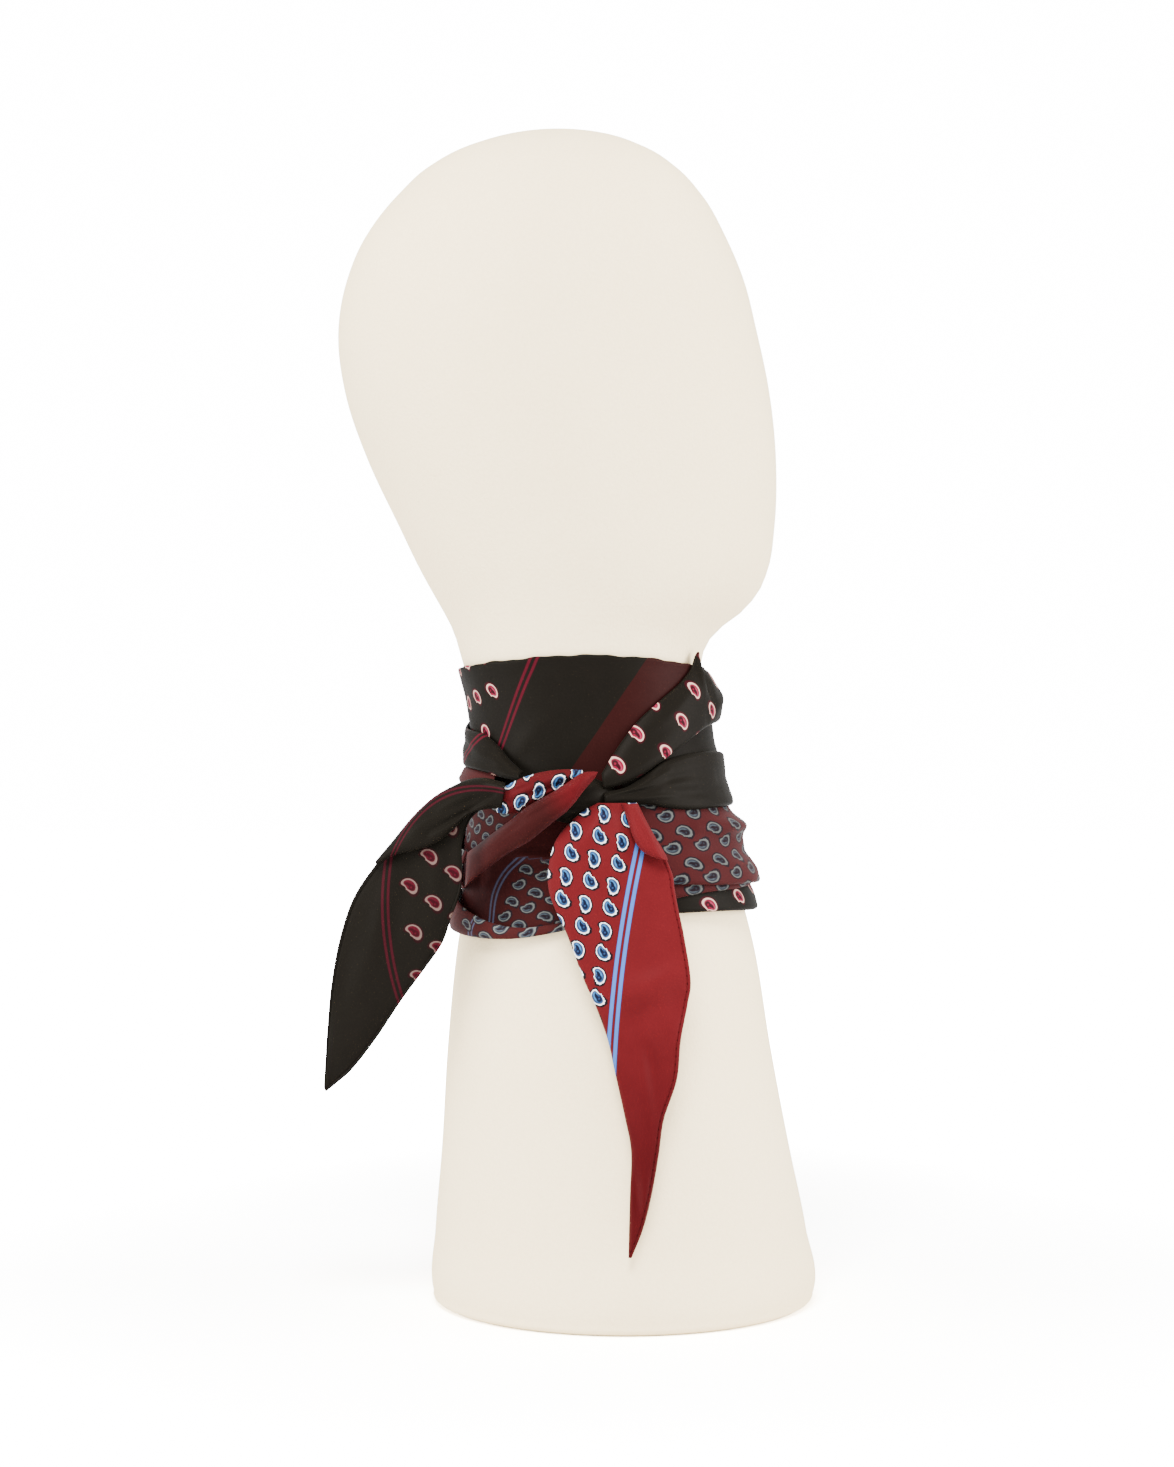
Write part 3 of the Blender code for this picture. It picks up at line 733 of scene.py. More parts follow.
def fill(tree, node, values):
    """Set or link a node's inputs by name."""
    for title, value in values.items():
        link(tree, value, node.inputs[title])


def maths(tree, kind, *values):
    """A Math node's result."""
    node = tree.nodes.new("ShaderNodeMath")
    node.operation = kind
    for value, socket in zip(values, node.inputs):
        link(tree, value, socket)
    return node.outputs[0]


def vectors(tree, kind, *values):
    """A Vector Math node's result."""
    node = tree.nodes.new("ShaderNodeVectorMath")
    node.operation = kind
    for value, socket in zip(values, node.inputs):
        link(tree, value, socket)
    return node.outputs["Value" if kind == "LENGTH" else "Vector"]


def rotated(tree, vector, angle):
    """A vector turned about Z."""
    node = tree.nodes.new("ShaderNodeVectorRotate")
    node.rotation_type = "Z_AXIS"
    fill(tree, node, {"Vector": vector, "Angle": angle})
    return node.outputs[0]


def split(tree, vector):
    """The x and y of a vector."""
    node = tree.nodes.new("ShaderNodeSeparateXYZ")
    link(tree, vector, node.inputs[0])
    return node.outputs[0], node.outputs[1]


def joined(tree, x, y):
    """A vector from its x and y."""
    node = tree.nodes.new("ShaderNodeCombineXYZ")
    link(tree, x, node.inputs[0])
    link(tree, y, node.inputs[1])
    return node.outputs[0]


def below(tree, value, limit, blur):
    """1 where a value is under a limit and 0 over it, with a soft step."""
    node = tree.nodes.new("ShaderNodeMapRange")
    node.interpolation_type = "SMOOTHSTEP"
    start = maths(tree, "SUBTRACT", limit, blur)
    end = maths(tree, "ADD", limit, blur)
    fill(tree, node, {"Value": value, "From Min": start, "From Max": end, "To Min": 1, "To Max": 0})
    return node.outputs["Result"]


def painted(tree, mask, under, over):
    """One colour laid over another where a mask says."""
    node = tree.nodes.new("ShaderNodeMix")
    node.data_type = "RGBA"
    fill(tree, node, {"Factor": mask, "A": under, "B": over})
    return node.outputs["Result"]


def new_look(name):
    """A new material, its nodes and its shader."""
    look = bpy.data.materials.new(name)
    look.use_nodes = True
    return look, look.node_tree, look.node_tree.nodes["Principled BSDF"]


def bumped(tree, shader, height, strength, distance):
    """Give a shader a faint relief, with its distance in millimetres."""
    bump = tree.nodes.new("ShaderNodeBump")
    fill(tree, bump, {"Height": height, "Strength": strength, "Distance": distance * MM})
    link(tree, bump.outputs[0], shader.inputs["Normal"])


def noise(tree, vector, scale):
    """A noise value round 0.5."""
    node = tree.nodes.new("ShaderNodeTexNoise")
    fill(tree, node, {"Vector": vector, "Scale": scale, "Detail": 3})
    return node.outputs["Fac"]


def map_place(tree, title):
    """A place in millimetres, from one of the maps of a surface."""
    node = tree.nodes.new("ShaderNodeUVMap")
    node.uv_map = title
    return vectors(tree, "MULTIPLY", node.outputs["UV"], (1 / MM, 1 / MM, 0))


def new_group(name, inputs, outputs):
    """An empty node group with named sockets."""
    group = bpy.data.node_groups.new(name, "ShaderNodeTree")
    for title, kind, value in inputs:
        socket = group.interface.new_socket(title, in_out="INPUT", socket_type="NodeSocket" + kind)
        socket.default_value = value
    for title, kind in outputs:
        group.interface.new_socket(title, in_out="OUTPUT", socket_type="NodeSocket" + kind)
    return group, group.nodes.new("NodeGroupInput").outputs, group.nodes.new("NodeGroupOutput").inputs


# Inputs of the print: its places, its layout, each paisley and bar, the dyes
PLACE_SOCKETS = ("Place", "Cell", "Shift")
LAYOUT_SOCKETS = (
    "Lattice turn", "Motif turn", "Other turn", "Hand", "Near limit", "Far limit", "Bow", "Band start",
    "Band softness",
)
MOTIF_SOCKETS = (
    "Half length", "Half width", "Curl", "Scallop", "Rim inside", "Alternate", "Bar half", "Bar offset",
)
DYE_SOCKETS = ("Ground", "Outline", "Rim", "Body", "Light", "Core", "Stripe", "Stripe edge", "Band")

# How much a paisley widens to its bulb, the scallops round it, the width of a
# bar's dark edge, and how the band leans
TAPER = 0.28
SCALLOPS = 16
BAR_EDGE = 0.2
BAND_LEAN = 0.1


def print_group():
    """The foulard print: paisleys in a lattice, a double stripe and a wide band."""
    inputs = [(title, "Vector", (0, 0, 0)) for title in PLACE_SOCKETS]
    inputs += [(title, "Float", 0) for title in LAYOUT_SOCKETS + MOTIF_SOCKETS]
    inputs += [(title, "Color", (1, 1, 1, 1)) for title in DYE_SOCKETS]
    group, given, result = new_group("foulard_print", inputs, (("Color", "Color"),))
    x, y = split(group, given["Place"])
    # the lattice's own place, the middle of the cell, and the place in the cell
    lattice = vectors(group, "ADD", rotated(group, given["Place"], given["Lattice turn"]), given["Shift"])
    count = vectors(group, "FLOOR", vectors(group, "DIVIDE", lattice, given["Cell"]))
    middle = vectors(group, "MULTIPLY", vectors(group, "ADD", count, (0.5, 0.5, 0)), given["Cell"])
    inside = vectors(group, "SUBTRACT", lattice, middle)
    home = vectors(group, "SUBTRACT", middle, given["Shift"])
    back_turn = maths(group, "MULTIPLY", given["Lattice turn"], -1)
    home_x, _ = split(group, rotated(group, home, back_turn))
    near = maths(group, "LESS_THAN", home_x, given["Near limit"])
    far = maths(group, "GREATER_THAN", home_x, given["Far limit"])
    present = maths(group, "MAXIMUM", near, far)
    # every other motif is turned another way and mirrored
    count_x, count_y = split(group, count)
    odd = maths(group, "FLOORED_MODULO", maths(group, "ADD", count_x, count_y), 2)
    flip = maths(group, "MULTIPLY", odd, given["Alternate"])
    change = maths(group, "SUBTRACT", given["Other turn"], given["Motif turn"])
    motif = rotated(group, inside, maths(group, "MULTIPLY_ADD", flip, change, given["Motif turn"]))
    hand = maths(group, "MULTIPLY", given["Hand"], maths(group, "MULTIPLY_ADD", flip, -2, 1))
    along, across = split(group, motif)
    # a bean bent round a point at its side, with its bulb at the positive end
    aside = maths(group, "ADD", maths(group, "MULTIPLY", across, hand), given["Curl"])
    swing = maths(group, "MULTIPLY", maths(group, "ARCTAN2", along, aside), given["Curl"])
    s = maths(group, "DIVIDE", swing, given["Half length"])
    reach = vectors(group, "LENGTH", joined(group, along, aside))
    width = maths(group, "MULTIPLY", given["Half width"], maths(group, "MULTIPLY_ADD", s, TAPER, 1))
    t = maths(group, "DIVIDE", maths(group, "SUBTRACT", reach, given["Curl"]), width)
    size = vectors(group, "LENGTH", joined(group, s, t))
    beat = maths(group, "COSINE", maths(group, "MULTIPLY", maths(group, "ARCTAN2", t, s), SCALLOPS))
    edge = maths(group, "ADD", size, maths(group, "MULTIPLY", beat, given["Scallop"]))

    def spot(middle_s, middle_t, half_s, half_t):
        """Distance from a spot in the bean, in its own half sizes."""
        s_part = maths(group, "DIVIDE", maths(group, "SUBTRACT", s, middle_s), half_s)
        t_part = maths(group, "DIVIDE", maths(group, "SUBTRACT", t, middle_t), half_t)
        return vectors(group, "LENGTH", joined(group, s_part, t_part))

    # the bars of the stripe, and the band
    bowed = maths(group, "ADD", x, maths(group, "MULTIPLY", given["Bow"], maths(group, "MULTIPLY", y, y)))
    bar = maths(group, "SUBTRACT", maths(group, "ABSOLUTE", bowed), given["Bar offset"])
    bar = maths(group, "ABSOLUTE", bar)
    border = maths(group, "ADD", given["Bar half"], BAR_EDGE)
    leaning = maths(group, "SUBTRACT", x, maths(group, "MULTIPLY", y, BAND_LEAN))
    plain = below(group, leaning, given["Band start"], given["Band softness"])
    colour = painted(group, plain, given["Band"], given["Ground"])
    colour = painted(group, below(group, bar, border, 0.1), colour, given["Stripe edge"])
    colour = painted(group, below(group, bar, given["Bar half"], 0.12), colour, given["Stripe"])
    # each layer of a paisley, from the lowest: measure, limit, blur and dye
    layers = (
        (edge, 1.25, 0.06, "Outline"),
        (edge, 1, 0.05, "Rim"),
        (size, given["Rim inside"], 0.08, "Body"),
        (spot(-0.42, 0, 0.24, 0.42), 1, 0.35, "Light"),
        (spot(0.12, 0.32, 0.46, 0.17), 1, 0.35, "Light"),
        (spot(-0.08, -0.05, 0.54, 0.28), 1, 0.25, "Core"),
        (spot(0.36, -0.02, 0.32, 0.48), 1, 0.25, "Core"),
        (spot(0.32, -0.08, 0.12, 0.17), 1, 0.5, "Body"),
    )
    for value, limit, blur, title in layers:
        mask = maths(group, "MULTIPLY", below(group, value, limit, blur), present)
        colour = painted(group, mask, colour, given[title])
    link(group, colour, result["Color"])
    return group


# Slubs of the weave and clouds of the dye in a millimetre
SLUBS = 1.4
CLOUDS = 0.09


def twill_group():
    """Fine diagonal ribs, and the faint uneven tone of washed silk."""
    group, given, result = new_group(
        "silk_twill",
        (("Place", "Vector", (0, 0, 0)), ("Rib", "Float", 0.5), ("Uneven", "Float", 0.1)),
        (("Height", "Float"), ("Tone", "Float")),
    )
    x, y = split(group, given["Place"])
    phase = maths(group, "DIVIDE", maths(group, "ADD", x, y), given["Rib"])
    rib = maths(group, "SINE", maths(group, "MULTIPLY", phase, 2 * np.pi))
    slub = noise(group, given["Place"], SLUBS)
    link(group, maths(group, "ADD", maths(group, "MULTIPLY", rib, 0.5), slub), result["Height"])
    cloud = maths(group, "ADD", noise(group, given["Place"], CLOUDS), maths(group, "MULTIPLY", slub, 0.5))
    drift = maths(group, "MULTIPLY", maths(group, "SUBTRACT", cloud, 0.75), given["Uneven"])
    link(group, maths(group, "ADD", drift, 1), result["Tone"])
    return group


def placed(tree, group, values):
    """A group in a material, with its values set by name."""
    node = tree.nodes.new("ShaderNodeGroup")
    node.node_tree = group
    fill(tree, node, values)
    return node.outputs


# A stitch, and the painted shade in the groove of the hem that it holds: half
# width, blur and how dark each is, and the part of each beat along the edge
# that has the stitch
STITCH = (0.28, 0.12, 0.6)
GROOVE_SHADE = (0.3, 0.25, 0.25)
STITCH_BEAT = 0.75


def stitches_and_shade_group():
    """Pick stitches along a rolled hem with painted shade in its groove, and painted shade or painted
    light at one end.
    """
    group, given, result = new_group(
        "stitches_shade_and_light",
        (
            ("Place", "Vector", (0, 0, 0)),
            ("Spacing", "Float", 3.4),
            ("Painted shade or light", "Float", 0),
            ("Level", "Float", 110),
            ("Blur", "Float", 48),
        ),
        (("Tone", "Float"),),
    )
    inward, along = split(group, given["Place"])
    gap = maths(group, "ABSOLUTE", maths(group, "SUBTRACT", inward, GROOVE[1]))
    turn = maths(group, "DIVIDE", maths(group, "MULTIPLY", along, 2 * np.pi), given["Spacing"])
    beat = maths(group, "COSINE", turn)
    on_beat = maths(group, "GREATER_THAN", beat, STITCH_BEAT)
    stitch = maths(group, "MULTIPLY", below(group, gap, *STITCH[:2]), on_beat)
    # painted shade all along the hem's groove
    fold = maths(group, "MULTIPLY", below(group, gap, *GROOVE_SHADE[:2]), GROOVE_SHADE[2])
    dark = maths(group, "MAXIMUM", maths(group, "MULTIPLY", stitch, STITCH[2]), fold)
    # painted shade at one end, or painted light where the value is below 0
    low = maths(group, "MULTIPLY", below(group, along, given["Level"], given["Blur"]), given["Painted shade or light"])
    tone = maths(group, "MULTIPLY", maths(group, "SUBTRACT", 1, dark), maths(group, "SUBTRACT", 1, low))
    link(group, tone, result["Tone"])
    return group


PRINT = print_group()
TWILL = twill_group()
STITCHES_AND_SHADE = stitches_and_shade_group()

# Dyes
BLACK = (0.005, 0.0042, 0.0032, 1)
CRIMSON = (0.12, 0.003, 0.016, 1)
DIM_CRIMSON = (0.042, 0.003, 0.007, 1)
ROSE = (0.2, 0.02, 0.045, 1)
PINK_WHITE = (0.46, 0.28, 0.23, 1)
DIM_PINK = (0.1, 0.062, 0.054, 1)
STRIPE_RED = (0.047, 0.0035, 0.008, 1)
DEEP_RED = (0.02, 0.0022, 0.004, 1)
DIM_RED = (0.026, 0.0035, 0.006, 1)
EMBER = (0.01, 0.0025, 0.003, 1)
BURGUNDY = (0.029, 0.0062, 0.0064, 1)
# Painted shade: the burgundy made darker for the cowl and the sash, which lie in shade
SHADED_BURGUNDY = (0.0195, 0.0044, 0.0042, 1)
BAND_RED = (0.015, 0.0035, 0.0032, 1)
SLATE = (0.058, 0.062, 0.058, 1)
SLATE_DARK = (0.006, 0.0045, 0.006, 1)
SLATE_GREY = (0.012, 0.015, 0.02, 1)
SLATE_BLUE = (0.028, 0.036, 0.043, 1)
LILAC = (0.036, 0.036, 0.056, 1)
RED = (0.072, 0.006, 0.0074, 1)
KNOT_RED = (0.047, 0.0042, 0.0052, 1)
BLUE_WHITE = (0.85, 0.88, 0.9, 1)
SKY = (0.042, 0.11, 0.34, 1)
STEEL_BLUE = (0.0165, 0.036, 0.09, 1)
PALE_BLUE = (0.032, 0.12, 0.27, 1)
NAVY = (0.0042, 0.006, 0.0165, 1)
PLUM = (0.022, 0.0025, 0.011, 1)
SASH_RED = (0.055, 0.0044, 0.0056, 1)
CREAM = (0.99, 0.815, 0.505, 1)
WARM_CREAM = (0.94, 0.755, 0.455, 1)

# Paisleys and stripes of the burgundy reverse and of the red face
REVERSE = (SLATE_DARK, SLATE, SLATE_GREY, SLATE_BLUE, SLATE_DARK, LILAC, NAVY)
FACE = (SLATE_DARK, BLUE_WHITE, STEEL_BLUE, PALE_BLUE, NAVY, SKY, PLUM)

# Print colours of each dyeing: ground, outline, rim, body, light, core,
# stripe, stripe edge and band
DYES = {
    "black": (BLACK, DEEP_RED, PINK_WHITE, CRIMSON, ROSE, DEEP_RED, STRIPE_RED, DEEP_RED, BAND_RED),
    "dim black": (BLACK, EMBER, DIM_PINK, DIM_CRIMSON, DIM_CRIMSON, DEEP_RED, DIM_RED, EMBER, BAND_RED),
    "flap": (BLACK, EMBER, DIM_PINK, DIM_CRIMSON, CRIMSON, DEEP_RED, DIM_RED, EMBER, BAND_RED),
    "gathered black": (BLACK, EMBER, DIM_PINK, DIM_CRIMSON, CRIMSON, DEEP_RED, DIM_RED, EMBER, BURGUNDY),
    "burgundy": (BURGUNDY, *REVERSE, BURGUNDY),
    # the sash and the cowl take the burgundy with painted shade
    "sash": (SHADED_BURGUNDY, *REVERSE, SASH_RED),
    "cowl": (SHADED_BURGUNDY, *REVERSE, BURGUNDY),
    "red": (RED, *FACE, RED),
    "knot": (KNOT_RED, *FACE, RED),
}
SLOTS = {
    "black": "black_silk", "dim black": "black_silk", "flap": "black_silk", "gathered black": "black_silk",
    "burgundy": "burgundy_silk", "sash": "burgundy_silk", "cowl": "burgundy_silk",
    "red": "red_silk", "knot": "red_silk",
}

# Each silk's gloss, its sheen, and the colour that its threads give them
GLOSS = {
    "black_silk": (0.018, 0.006, (1, 0.92, 0.83, 1)),
    "burgundy_silk": (0.014, 0.03, (1, 0.36, 0.38, 1)),
    "red_silk": (0.02, 0.02, (1, 0.45, 0.45, 1)),
}

# Painted shade or light at one end: how much darker one end is, or lighter
# below 0, where it starts, how softly. The red tail gets painted shade at its
# lower end, the cowl painted light on its rim, and the sash a painted
# highlight at its lower end.
END_SHADE_AND_LIGHT = {
    "dim black": (0, 110, 48),
    "red": (0.45, 110, 48),
    "cowl": (-0.6, 110, 48),
    "sash": (-2, -66.5, 3.5),
}

# Paisley of each dyeing: half length, half width, curl, scallop, inside of the
# rim, whether every other one is turned, and the half width and offset of a bar
MOTIFS = {
    "black": (3.6, 2.75, 3.2, 0, 0.79, 0, 0.55, 1.3),
    "dim black": (4.1, 2.6, 3.1, 0, 0.74, 0, 0.55, 1.25),
    "flap": (3.7, 2.35, 2.9, 0, 0.72, 0, 0.42, 0.95),
    "gathered black": (3.7, 2.35, 2.9, 0, 0.72, 0, 0.5, 1.2),
    "burgundy": (3.55, 2.35, 2.9, 0.02, 0.74, 1, 0.5, 1.2),
    "sash": (3.55, 2.35, 2.9, 0.02, 0.74, 1, 0.5, 1.2),
    "cowl": (3.1, 1.95, 2.4, 0.02, 0.74, 1, 0.5, 1.15),
    "red": (3.55, 2.45, 2.75, 0.03, 0.86, 1, 0.82, 1.45),
    "knot": (3.55, 2.45, 2.75, 0.03, 0.86, 1, 0.82, 1.45),
}


def silk(name, printing, dyeing, cell, lattice, anchor, motif, layout, edged):
    """Printed silk twill with a soft sheen, and on an edged one stitches, painted shade in a hem's groove,
    and painted shade or light at one end.

    The lattice is turned by an angle on the cloth and has a paisley at its
    anchor. The motif gives the way from tail to bulb of the even and the odd
    paisleys, and their hand.
    """
    look, tree, shader = new_look(name)
    place = map_place(tree, "print")
    turn = np.radians(lattice - printing[0])
    x, y = printed_at(np.array([anchor], dtype=float), *printing)[0]
    home = (x * np.cos(turn) + y * np.sin(turn), y * np.cos(turn) - x * np.sin(turn))
    shift = (cell[0] / 2 - home[0], cell[1] / 2 - home[1], 0)
    ways = (np.radians(lattice - motif[0]), np.radians(lattice - motif[1]), motif[2])
    values = dict(zip(PLACE_SOCKETS, (place, (*cell, 1), shift)))
    values.update(zip(LAYOUT_SOCKETS, (-turn, *ways, *layout)))
    values.update(zip(MOTIF_SOCKETS, MOTIFS[dyeing]))
    values.update(zip(DYE_SOCKETS, DYES[dyeing]))
    printed = placed(tree, PRINT, values)["Color"]
    weave = placed(tree, TWILL, {"Place": place, "Rib": 0.5, "Uneven": 0.22})
    tone = weave["Tone"]
    # stitches, painted shade in a hem's groove, and painted shade or light at one end
    if edged:
        values = dict(zip(("Painted shade or light", "Level", "Blur"), END_SHADE_AND_LIGHT[dyeing]))
        values["Place"] = map_place(tree, "edge")
        tone = maths(tree, "MULTIPLY", tone, placed(tree, STITCHES_AND_SHADE, values)["Tone"])
    toned = vectors(tree, "SCALE", printed)
    link(tree, tone, toned.node.inputs["Scale"])
    link(tree, toned, shader.inputs["Base Color"])
    bumped(tree, shader, weave["Height"], strength=0.25, distance=0.05)
    gloss, sheen, thread = GLOSS[SLOTS[dyeing]]
    shader.inputs["Roughness"].default_value = 0.42
    shader.inputs["Specular IOR Level"].default_value = gloss
    shader.inputs["Specular Tint"].default_value = thread
    shader.inputs["Sheen Weight"].default_value = sheen
    shader.inputs["Sheen Roughness"].default_value = 0.45
    shader.inputs["Sheen Tint"].default_value = thread
    return look


def cover():
    """The form's matte cream cover with a fine grain."""
    look, tree, shader = new_look("cream_cover_finish")
    read = tree.nodes.new("ShaderNodeTexCoord").outputs["Object"]
    grain = noise(tree, read, 700)
    patch = maths(tree, "ADD", noise(tree, read, 18), maths(tree, "MULTIPLY_ADD", grain, 1.6, -0.8))
    tone = painted(tree, patch, CREAM, WARM_CREAM)
    link(tree, tone, shader.inputs["Base Color"])
    bumped(tree, shader, grain, strength=0.7, distance=0.4)
    shader.inputs["Roughness"].default_value = 0.8
    shader.inputs["Specular IOR Level"].default_value = 0.1
    return look


# Pieces

# The head form, finer than its solid
form = surface("head_form_cover", form_surface, (128, 150), weld=True)
stand_for("head_form_cover", form, cover(), "head_form")

# A place of the print that keeps its stripe off the stretch
ALL_OVER = (0, 900, 0, 0)

# Layouts: paisleys lie before the first limit from the stripe and past the
# second, then the stripe's bow, and the start and softness of the band
NONE = -5000
PAISLEYS = (-8, 500, 0, 300, 0.15)
NO_PAISLEYS = (NONE, 500, 0, 300, 0.15)

# Ways from tail to bulb of the even and the odd paisleys, and their hand
BLACK_WAY = (150, 150, -1)
FOLD_WAY = (124, 124, -1)
TAIL_WAY = (-42, -42, 1)
REVERSE_WAY = (20, -18, -1)
FACE_WAY = (-74, -48, 1)

# Each stretch: node, surface, grid counts, the print's turn, across, along and
# bow, dyeing, lattice cell, angle and anchor, paisleys' way, layout, flat width
# and length in metres, flat area, how it is held and what it rests on
STRETCHES = (
    ("neck_wrap", wound(NECK_WRAP, NECK_CREASES, (0, 1.2), 0.22), (300, 56),
     (-33, -25.9, 280.9, 0), "black", (13.4, 15.7), 11.2, (-45.9, 275.1), BLACK_WAY,
     (-8, 500, 0, 37.8, 0.15), (0.345, 0.076), 0.0255, "stretched", "head_form"),
    ("bottom_edge", wound(BOTTOM_EDGE, BOTTOM_CREASES, (1.6, 0)), (240, 22),
     ALL_OVER, "black", (17.9, 13), 9, (40.1, 181.3), BLACK_WAY,
     PAISLEYS, (0.3, 0.0215), 0.0064, "stretched", "head_form"),
    ("under_roll", wound(UNDER_ROLL, (), (1.6, 0)), (64, 12),
     ALL_OVER, "burgundy", (9.2, 10.2), -43, (33, 188.2), REVERSE_WAY,
     PAISLEYS, (0.068, 0.0105), 0.0007, "folded", "bottom_edge"),
    ("lower_wrap", wound(LOWER_WRAP, LOWER_CREASES, (2.4, 0)), (280, 48),
     ALL_OVER, "burgundy", (9.2, 10.4), -43, (26.9, 206.1), REVERSE_WAY,
     PAISLEYS, (0.34, 0.042), 0.0128, "stretched", "neck_wrap"),
    ("cowl", cowl(COWL, COWL_CREASES), (110, 90),
     (161.8, -44.9, 187, 0), "cowl", (7.8, 7.6), -22, (-21.9, 177.2), (-15, 25, 1),
     (-6, 24, 0.022, 300, 0.15), (0.1, 0.086), 0.0085, "draped", "neck_wrap"),
    ("gather", wound(GATHER, GATHER_CREASES, (2.2, 1.8)), (300, 34),
     ALL_OVER, "gathered black", (13.4, 15.7), 44, (0, 0), BLACK_WAY,
     (NONE, 500, 0, -696, 1.5), (0.35, 0.022), 0.0066, "gathered", "lower_wrap"),
    ("under_fold", wound(UNDER_FOLD, UNDER_CREASES, (0, 0.4)), (180, 20),
     ALL_OVER, "black", (13.4, 15.7), 44, (0, 0), BLACK_WAY,
     NO_PAISLEYS, (0.21, 0.0225), 0.0045, "folded", "neck_wrap"),
    ("front_fold", wound(FRONT_FOLD, FRONT_CREASES, (1.8, 0.8)), (220, 36),
     ALL_OVER, "black", (14.5, 17.1), -36.5, (9.4, 242.6), FOLD_WAY,
     PAISLEYS, (0.22, 0.026), 0.0053, "folded", "under_fold"),
    ("left_bulge", wound(LEFT_BULGE, BULGE_CREASES, (1.8, 1.4)), (120, 28),
     (-57, 270, 246, 0), "black", (14.5, 17.1), -36.5, (296.7, 235.4), BLACK_WAY,
     (-8, 18, 0, 300, 0.15), (0.125, 0.018), 0.002, "folded", "neck_wrap"),
    ("knot_core", ribbon(KNOT_CORE, CORE_CREASES, (8.5, 8.5)), (60, 40),
     ALL_OVER, "black", (13.4, 15.7), 44, (0, 0), BLACK_WAY,
     NO_PAISLEYS, (0.05, 0.027), 0.0012, "gathered", "gather"),
    ("knot_face", ribbon(KNOT_FACE, KNOT_CREASES, (3.4, 3.4)), (64, 30),
     ALL_OVER, "knot", (9.2, 9.8), 28, (-37.3, 231.1), (75, 50, -1),
     PAISLEYS, (0.046, 0.018), 0.00075, "gathered", "left_tail_flap"),
    ("sash", ribbon(SASH, SASH_CREASES, (3.6, 3.6), 3, (0, 0), False), (110, 34),
     (38, -109.8, 164.4, 0), "sash", (9.2, 10.4), -43, (0, 0), REVERSE_WAY,
     (NONE, 500, 0, 102, 9), (0.087, 0.022), 0.0018, "folded", "lower_wrap"),
    ("left_tail", ribbon(LEFT_TAIL, LEFT_CREASES, (1, 1), 2, (1, 1)), (150, 44),
     (180, -104.8, 182, 0), "dim black", (12.8, 15.6), -34, (-92, 170.2), TAIL_WAY,
     (-8, 500, 0.0037, 300, 0.15), (0.046, 0.17), 0.0046, "hung", "knot_face"),
    ("left_tail_flap", ribbon(LEFT_TAIL_FLAP, FLAP_CREASES, (2.8, 2.4)), (90, 28),
     (113, -77.6, 230, 0), "flap", (12.8, 15.6), -34, (-92, 170.2), TAIL_WAY,
     (NONE, 500, 0.015, 300, 0.15), (0.021, 0.072), 0.00115, "folded", "left_tail"),
    ("right_tail", ribbon(RIGHT_TAIL, RIGHT_CREASES, (1.6, 1.2), 2, (0, 1)), (200, 56),
     (-5.6, -4.4, 142.6, -0.00095), "red", (10.3, 9.55), -5.6, (-13.6, 203.1), FACE_WAY,
     (-5, 500, 0, 300, 0.15), (0.056, 0.2), 0.0067, "hung", "knot_core"),
    ("right_tail_roll", ribbon(RIGHT_TAIL_ROLL, ROLL_CREASES, (2.6, 3)), (44, 26),
     ALL_OVER, "red", (10.3, 9.55), 0, (0, 0), FACE_WAY,
     NO_PAISLEYS, (0.017, 0.028), 0.00043, "folded", "right_tail"),
)

# Stretches whose edge map shows, as stitches with painted shade in a hem's
# groove, or as painted shade or light at one end
EDGED = ("left_tail", "right_tail", "cowl", "sash")

for row in STRETCHES:
    node, place, counts, *finish, flat_size, flat_area, held, rests = row
    printing, dyeing = finish[:2]
    mesh = surface(node + "_cloth", place, counts, printing, weld=node == "neck_wrap")
    look = silk(node + "_silk", *finish, node in EDGED)
    piece = stand_for(node + "_cloth", mesh, look, node)
    shell(piece)


# Stage

FLOOR_FADE = (0.65, 0.5)


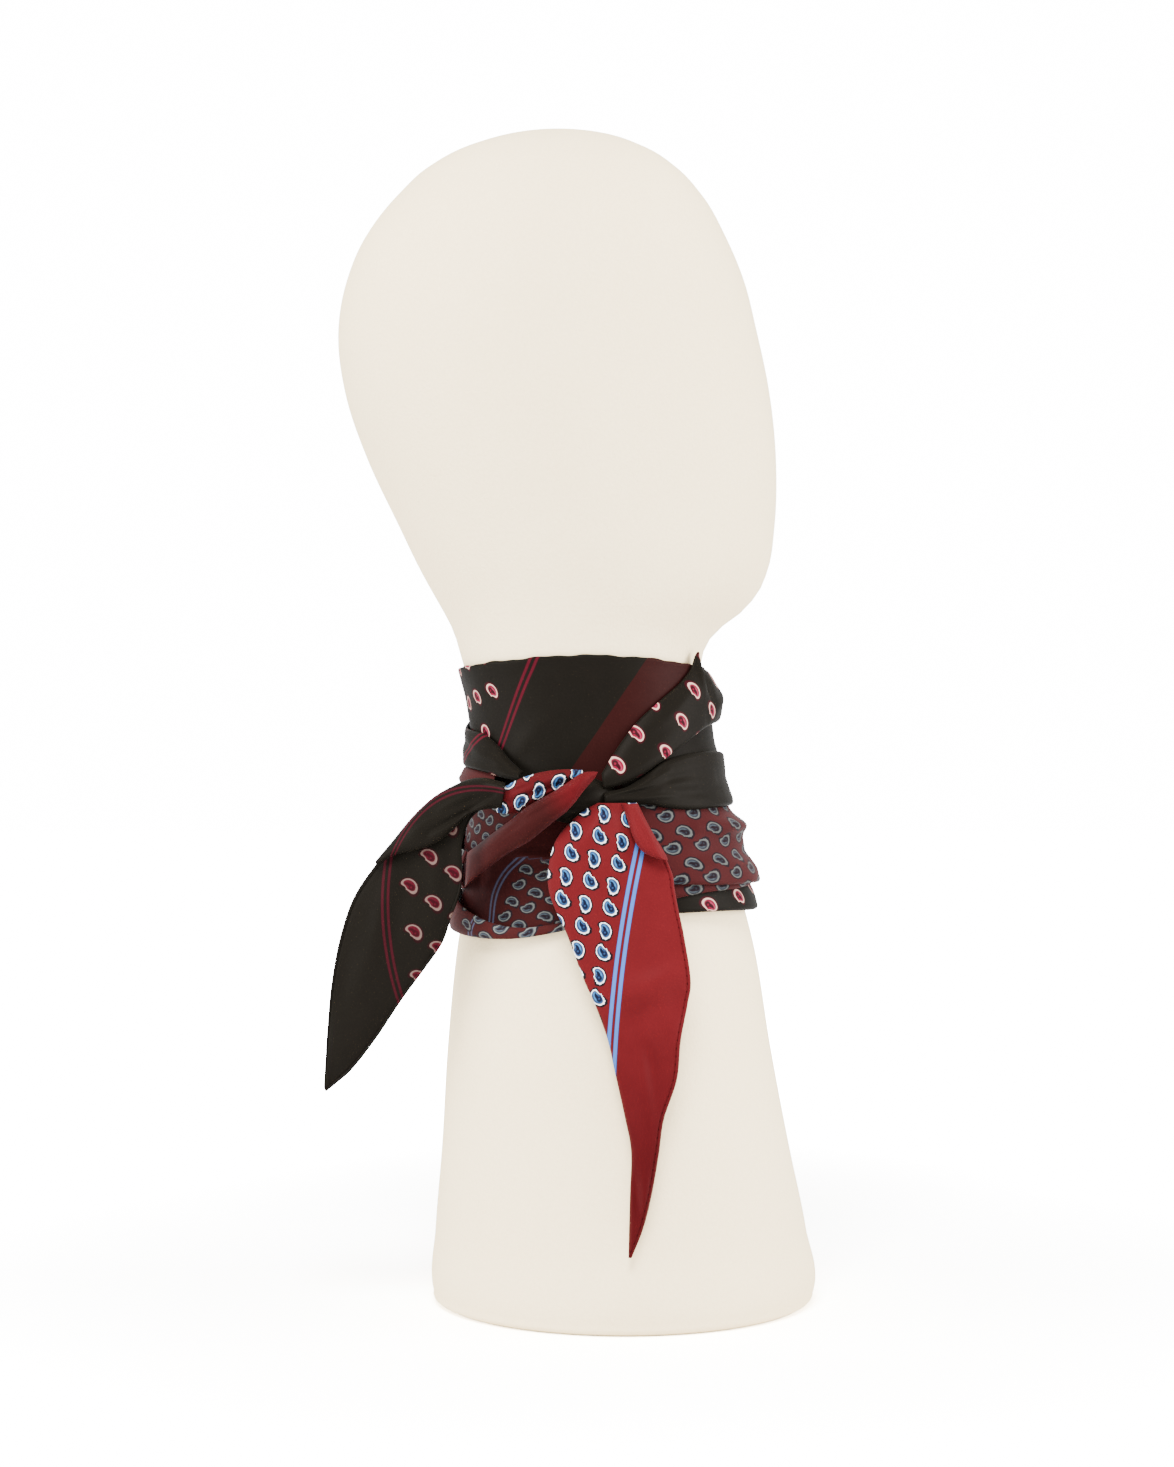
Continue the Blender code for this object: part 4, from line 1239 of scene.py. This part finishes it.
def stage_floor(shade, seen_shades):
    """A plain pale floor, with its own shade for light and for sight.

    The shades for sight are the one beside the form and the one far from it.
    """
    mesh = grid("floor", (1, 1), 6)
    look, tree, shader = new_look("pale_floor")
    seen = tree.nodes.new("ShaderNodeLightPath").outputs["Is Camera Ray"]
    apart = vectors(tree, "LENGTH", tree.nodes.new("ShaderNodeTexCoord").outputs["Object"])
    near, far = seen_shades
    seen_shade = maths(tree, "MULTIPLY_ADD", below(tree, apart, *FLOOR_FADE), near - far, far - shade)
    link(tree, maths(tree, "MULTIPLY_ADD", seen, seen_shade, shade), shader.inputs["Base Color"])
    shader.inputs["Roughness"].default_value = 0.9
    shader.inputs["Specular IOR Level"].default_value = 0.1
    mesh.materials.append(look)
    floor = bpy.data.objects.new("floor", mesh)
    bpy.context.collection.objects.link(floor)


def soft_light(name, place, size, power):
    """A soft square light that points at the scarf."""
    data = bpy.data.lights.new(name, "AREA")
    data.size = size
    data.energy = power
    lamp = bpy.data.objects.new(name, data)
    lamp.location = place
    aim = bpy.data.objects.new(name + "_aim", None)
    aim.location = (0, 0, 0.25)
    bpy.context.collection.objects.link(lamp)
    bpy.context.collection.objects.link(aim)
    track = lamp.constraints.new("TRACK_TO")
    track.target = aim
    track.track_axis = "TRACK_NEGATIVE_Z"
    track.up_axis = "UP_Y"


def studio(light, backdrop):
    """A white studio, with its own brightness for light and for sight."""
    world = bpy.data.worlds.new("studio")
    world.use_nodes = True
    tree = world.node_tree
    shader = tree.nodes["Background"]
    shader.inputs["Color"].default_value = (1, 1, 1, 1)
    seen = tree.nodes.new("ShaderNodeLightPath").outputs["Is Camera Ray"]
    link(tree, maths(tree, "MULTIPLY_ADD", seen, backdrop - light, light), shader.inputs["Strength"])
    bpy.context.scene.world = world


stage_floor(0.9, (3.4, 12))
soft_light("top_light", (-0.2, -1.4, 2), 1, 140)
soft_light("left_light", (-1.8, -0.5, 0.5), 1.2, 62)
soft_light("right_light", (1.8, -0.3, 0.5), 1.2, 75)
studio(1.45, 16)

view = bpy.data.cameras.new("view")
view.lens = 68
view.sensor_width = 36
camera = bpy.data.objects.new("view", view)
camera.location = (-0.0166, -1.26, 0.2563)
camera.rotation_euler = (np.pi / 2, 0, 0)
bpy.context.collection.objects.link(camera)
bpy.context.scene.camera = camera
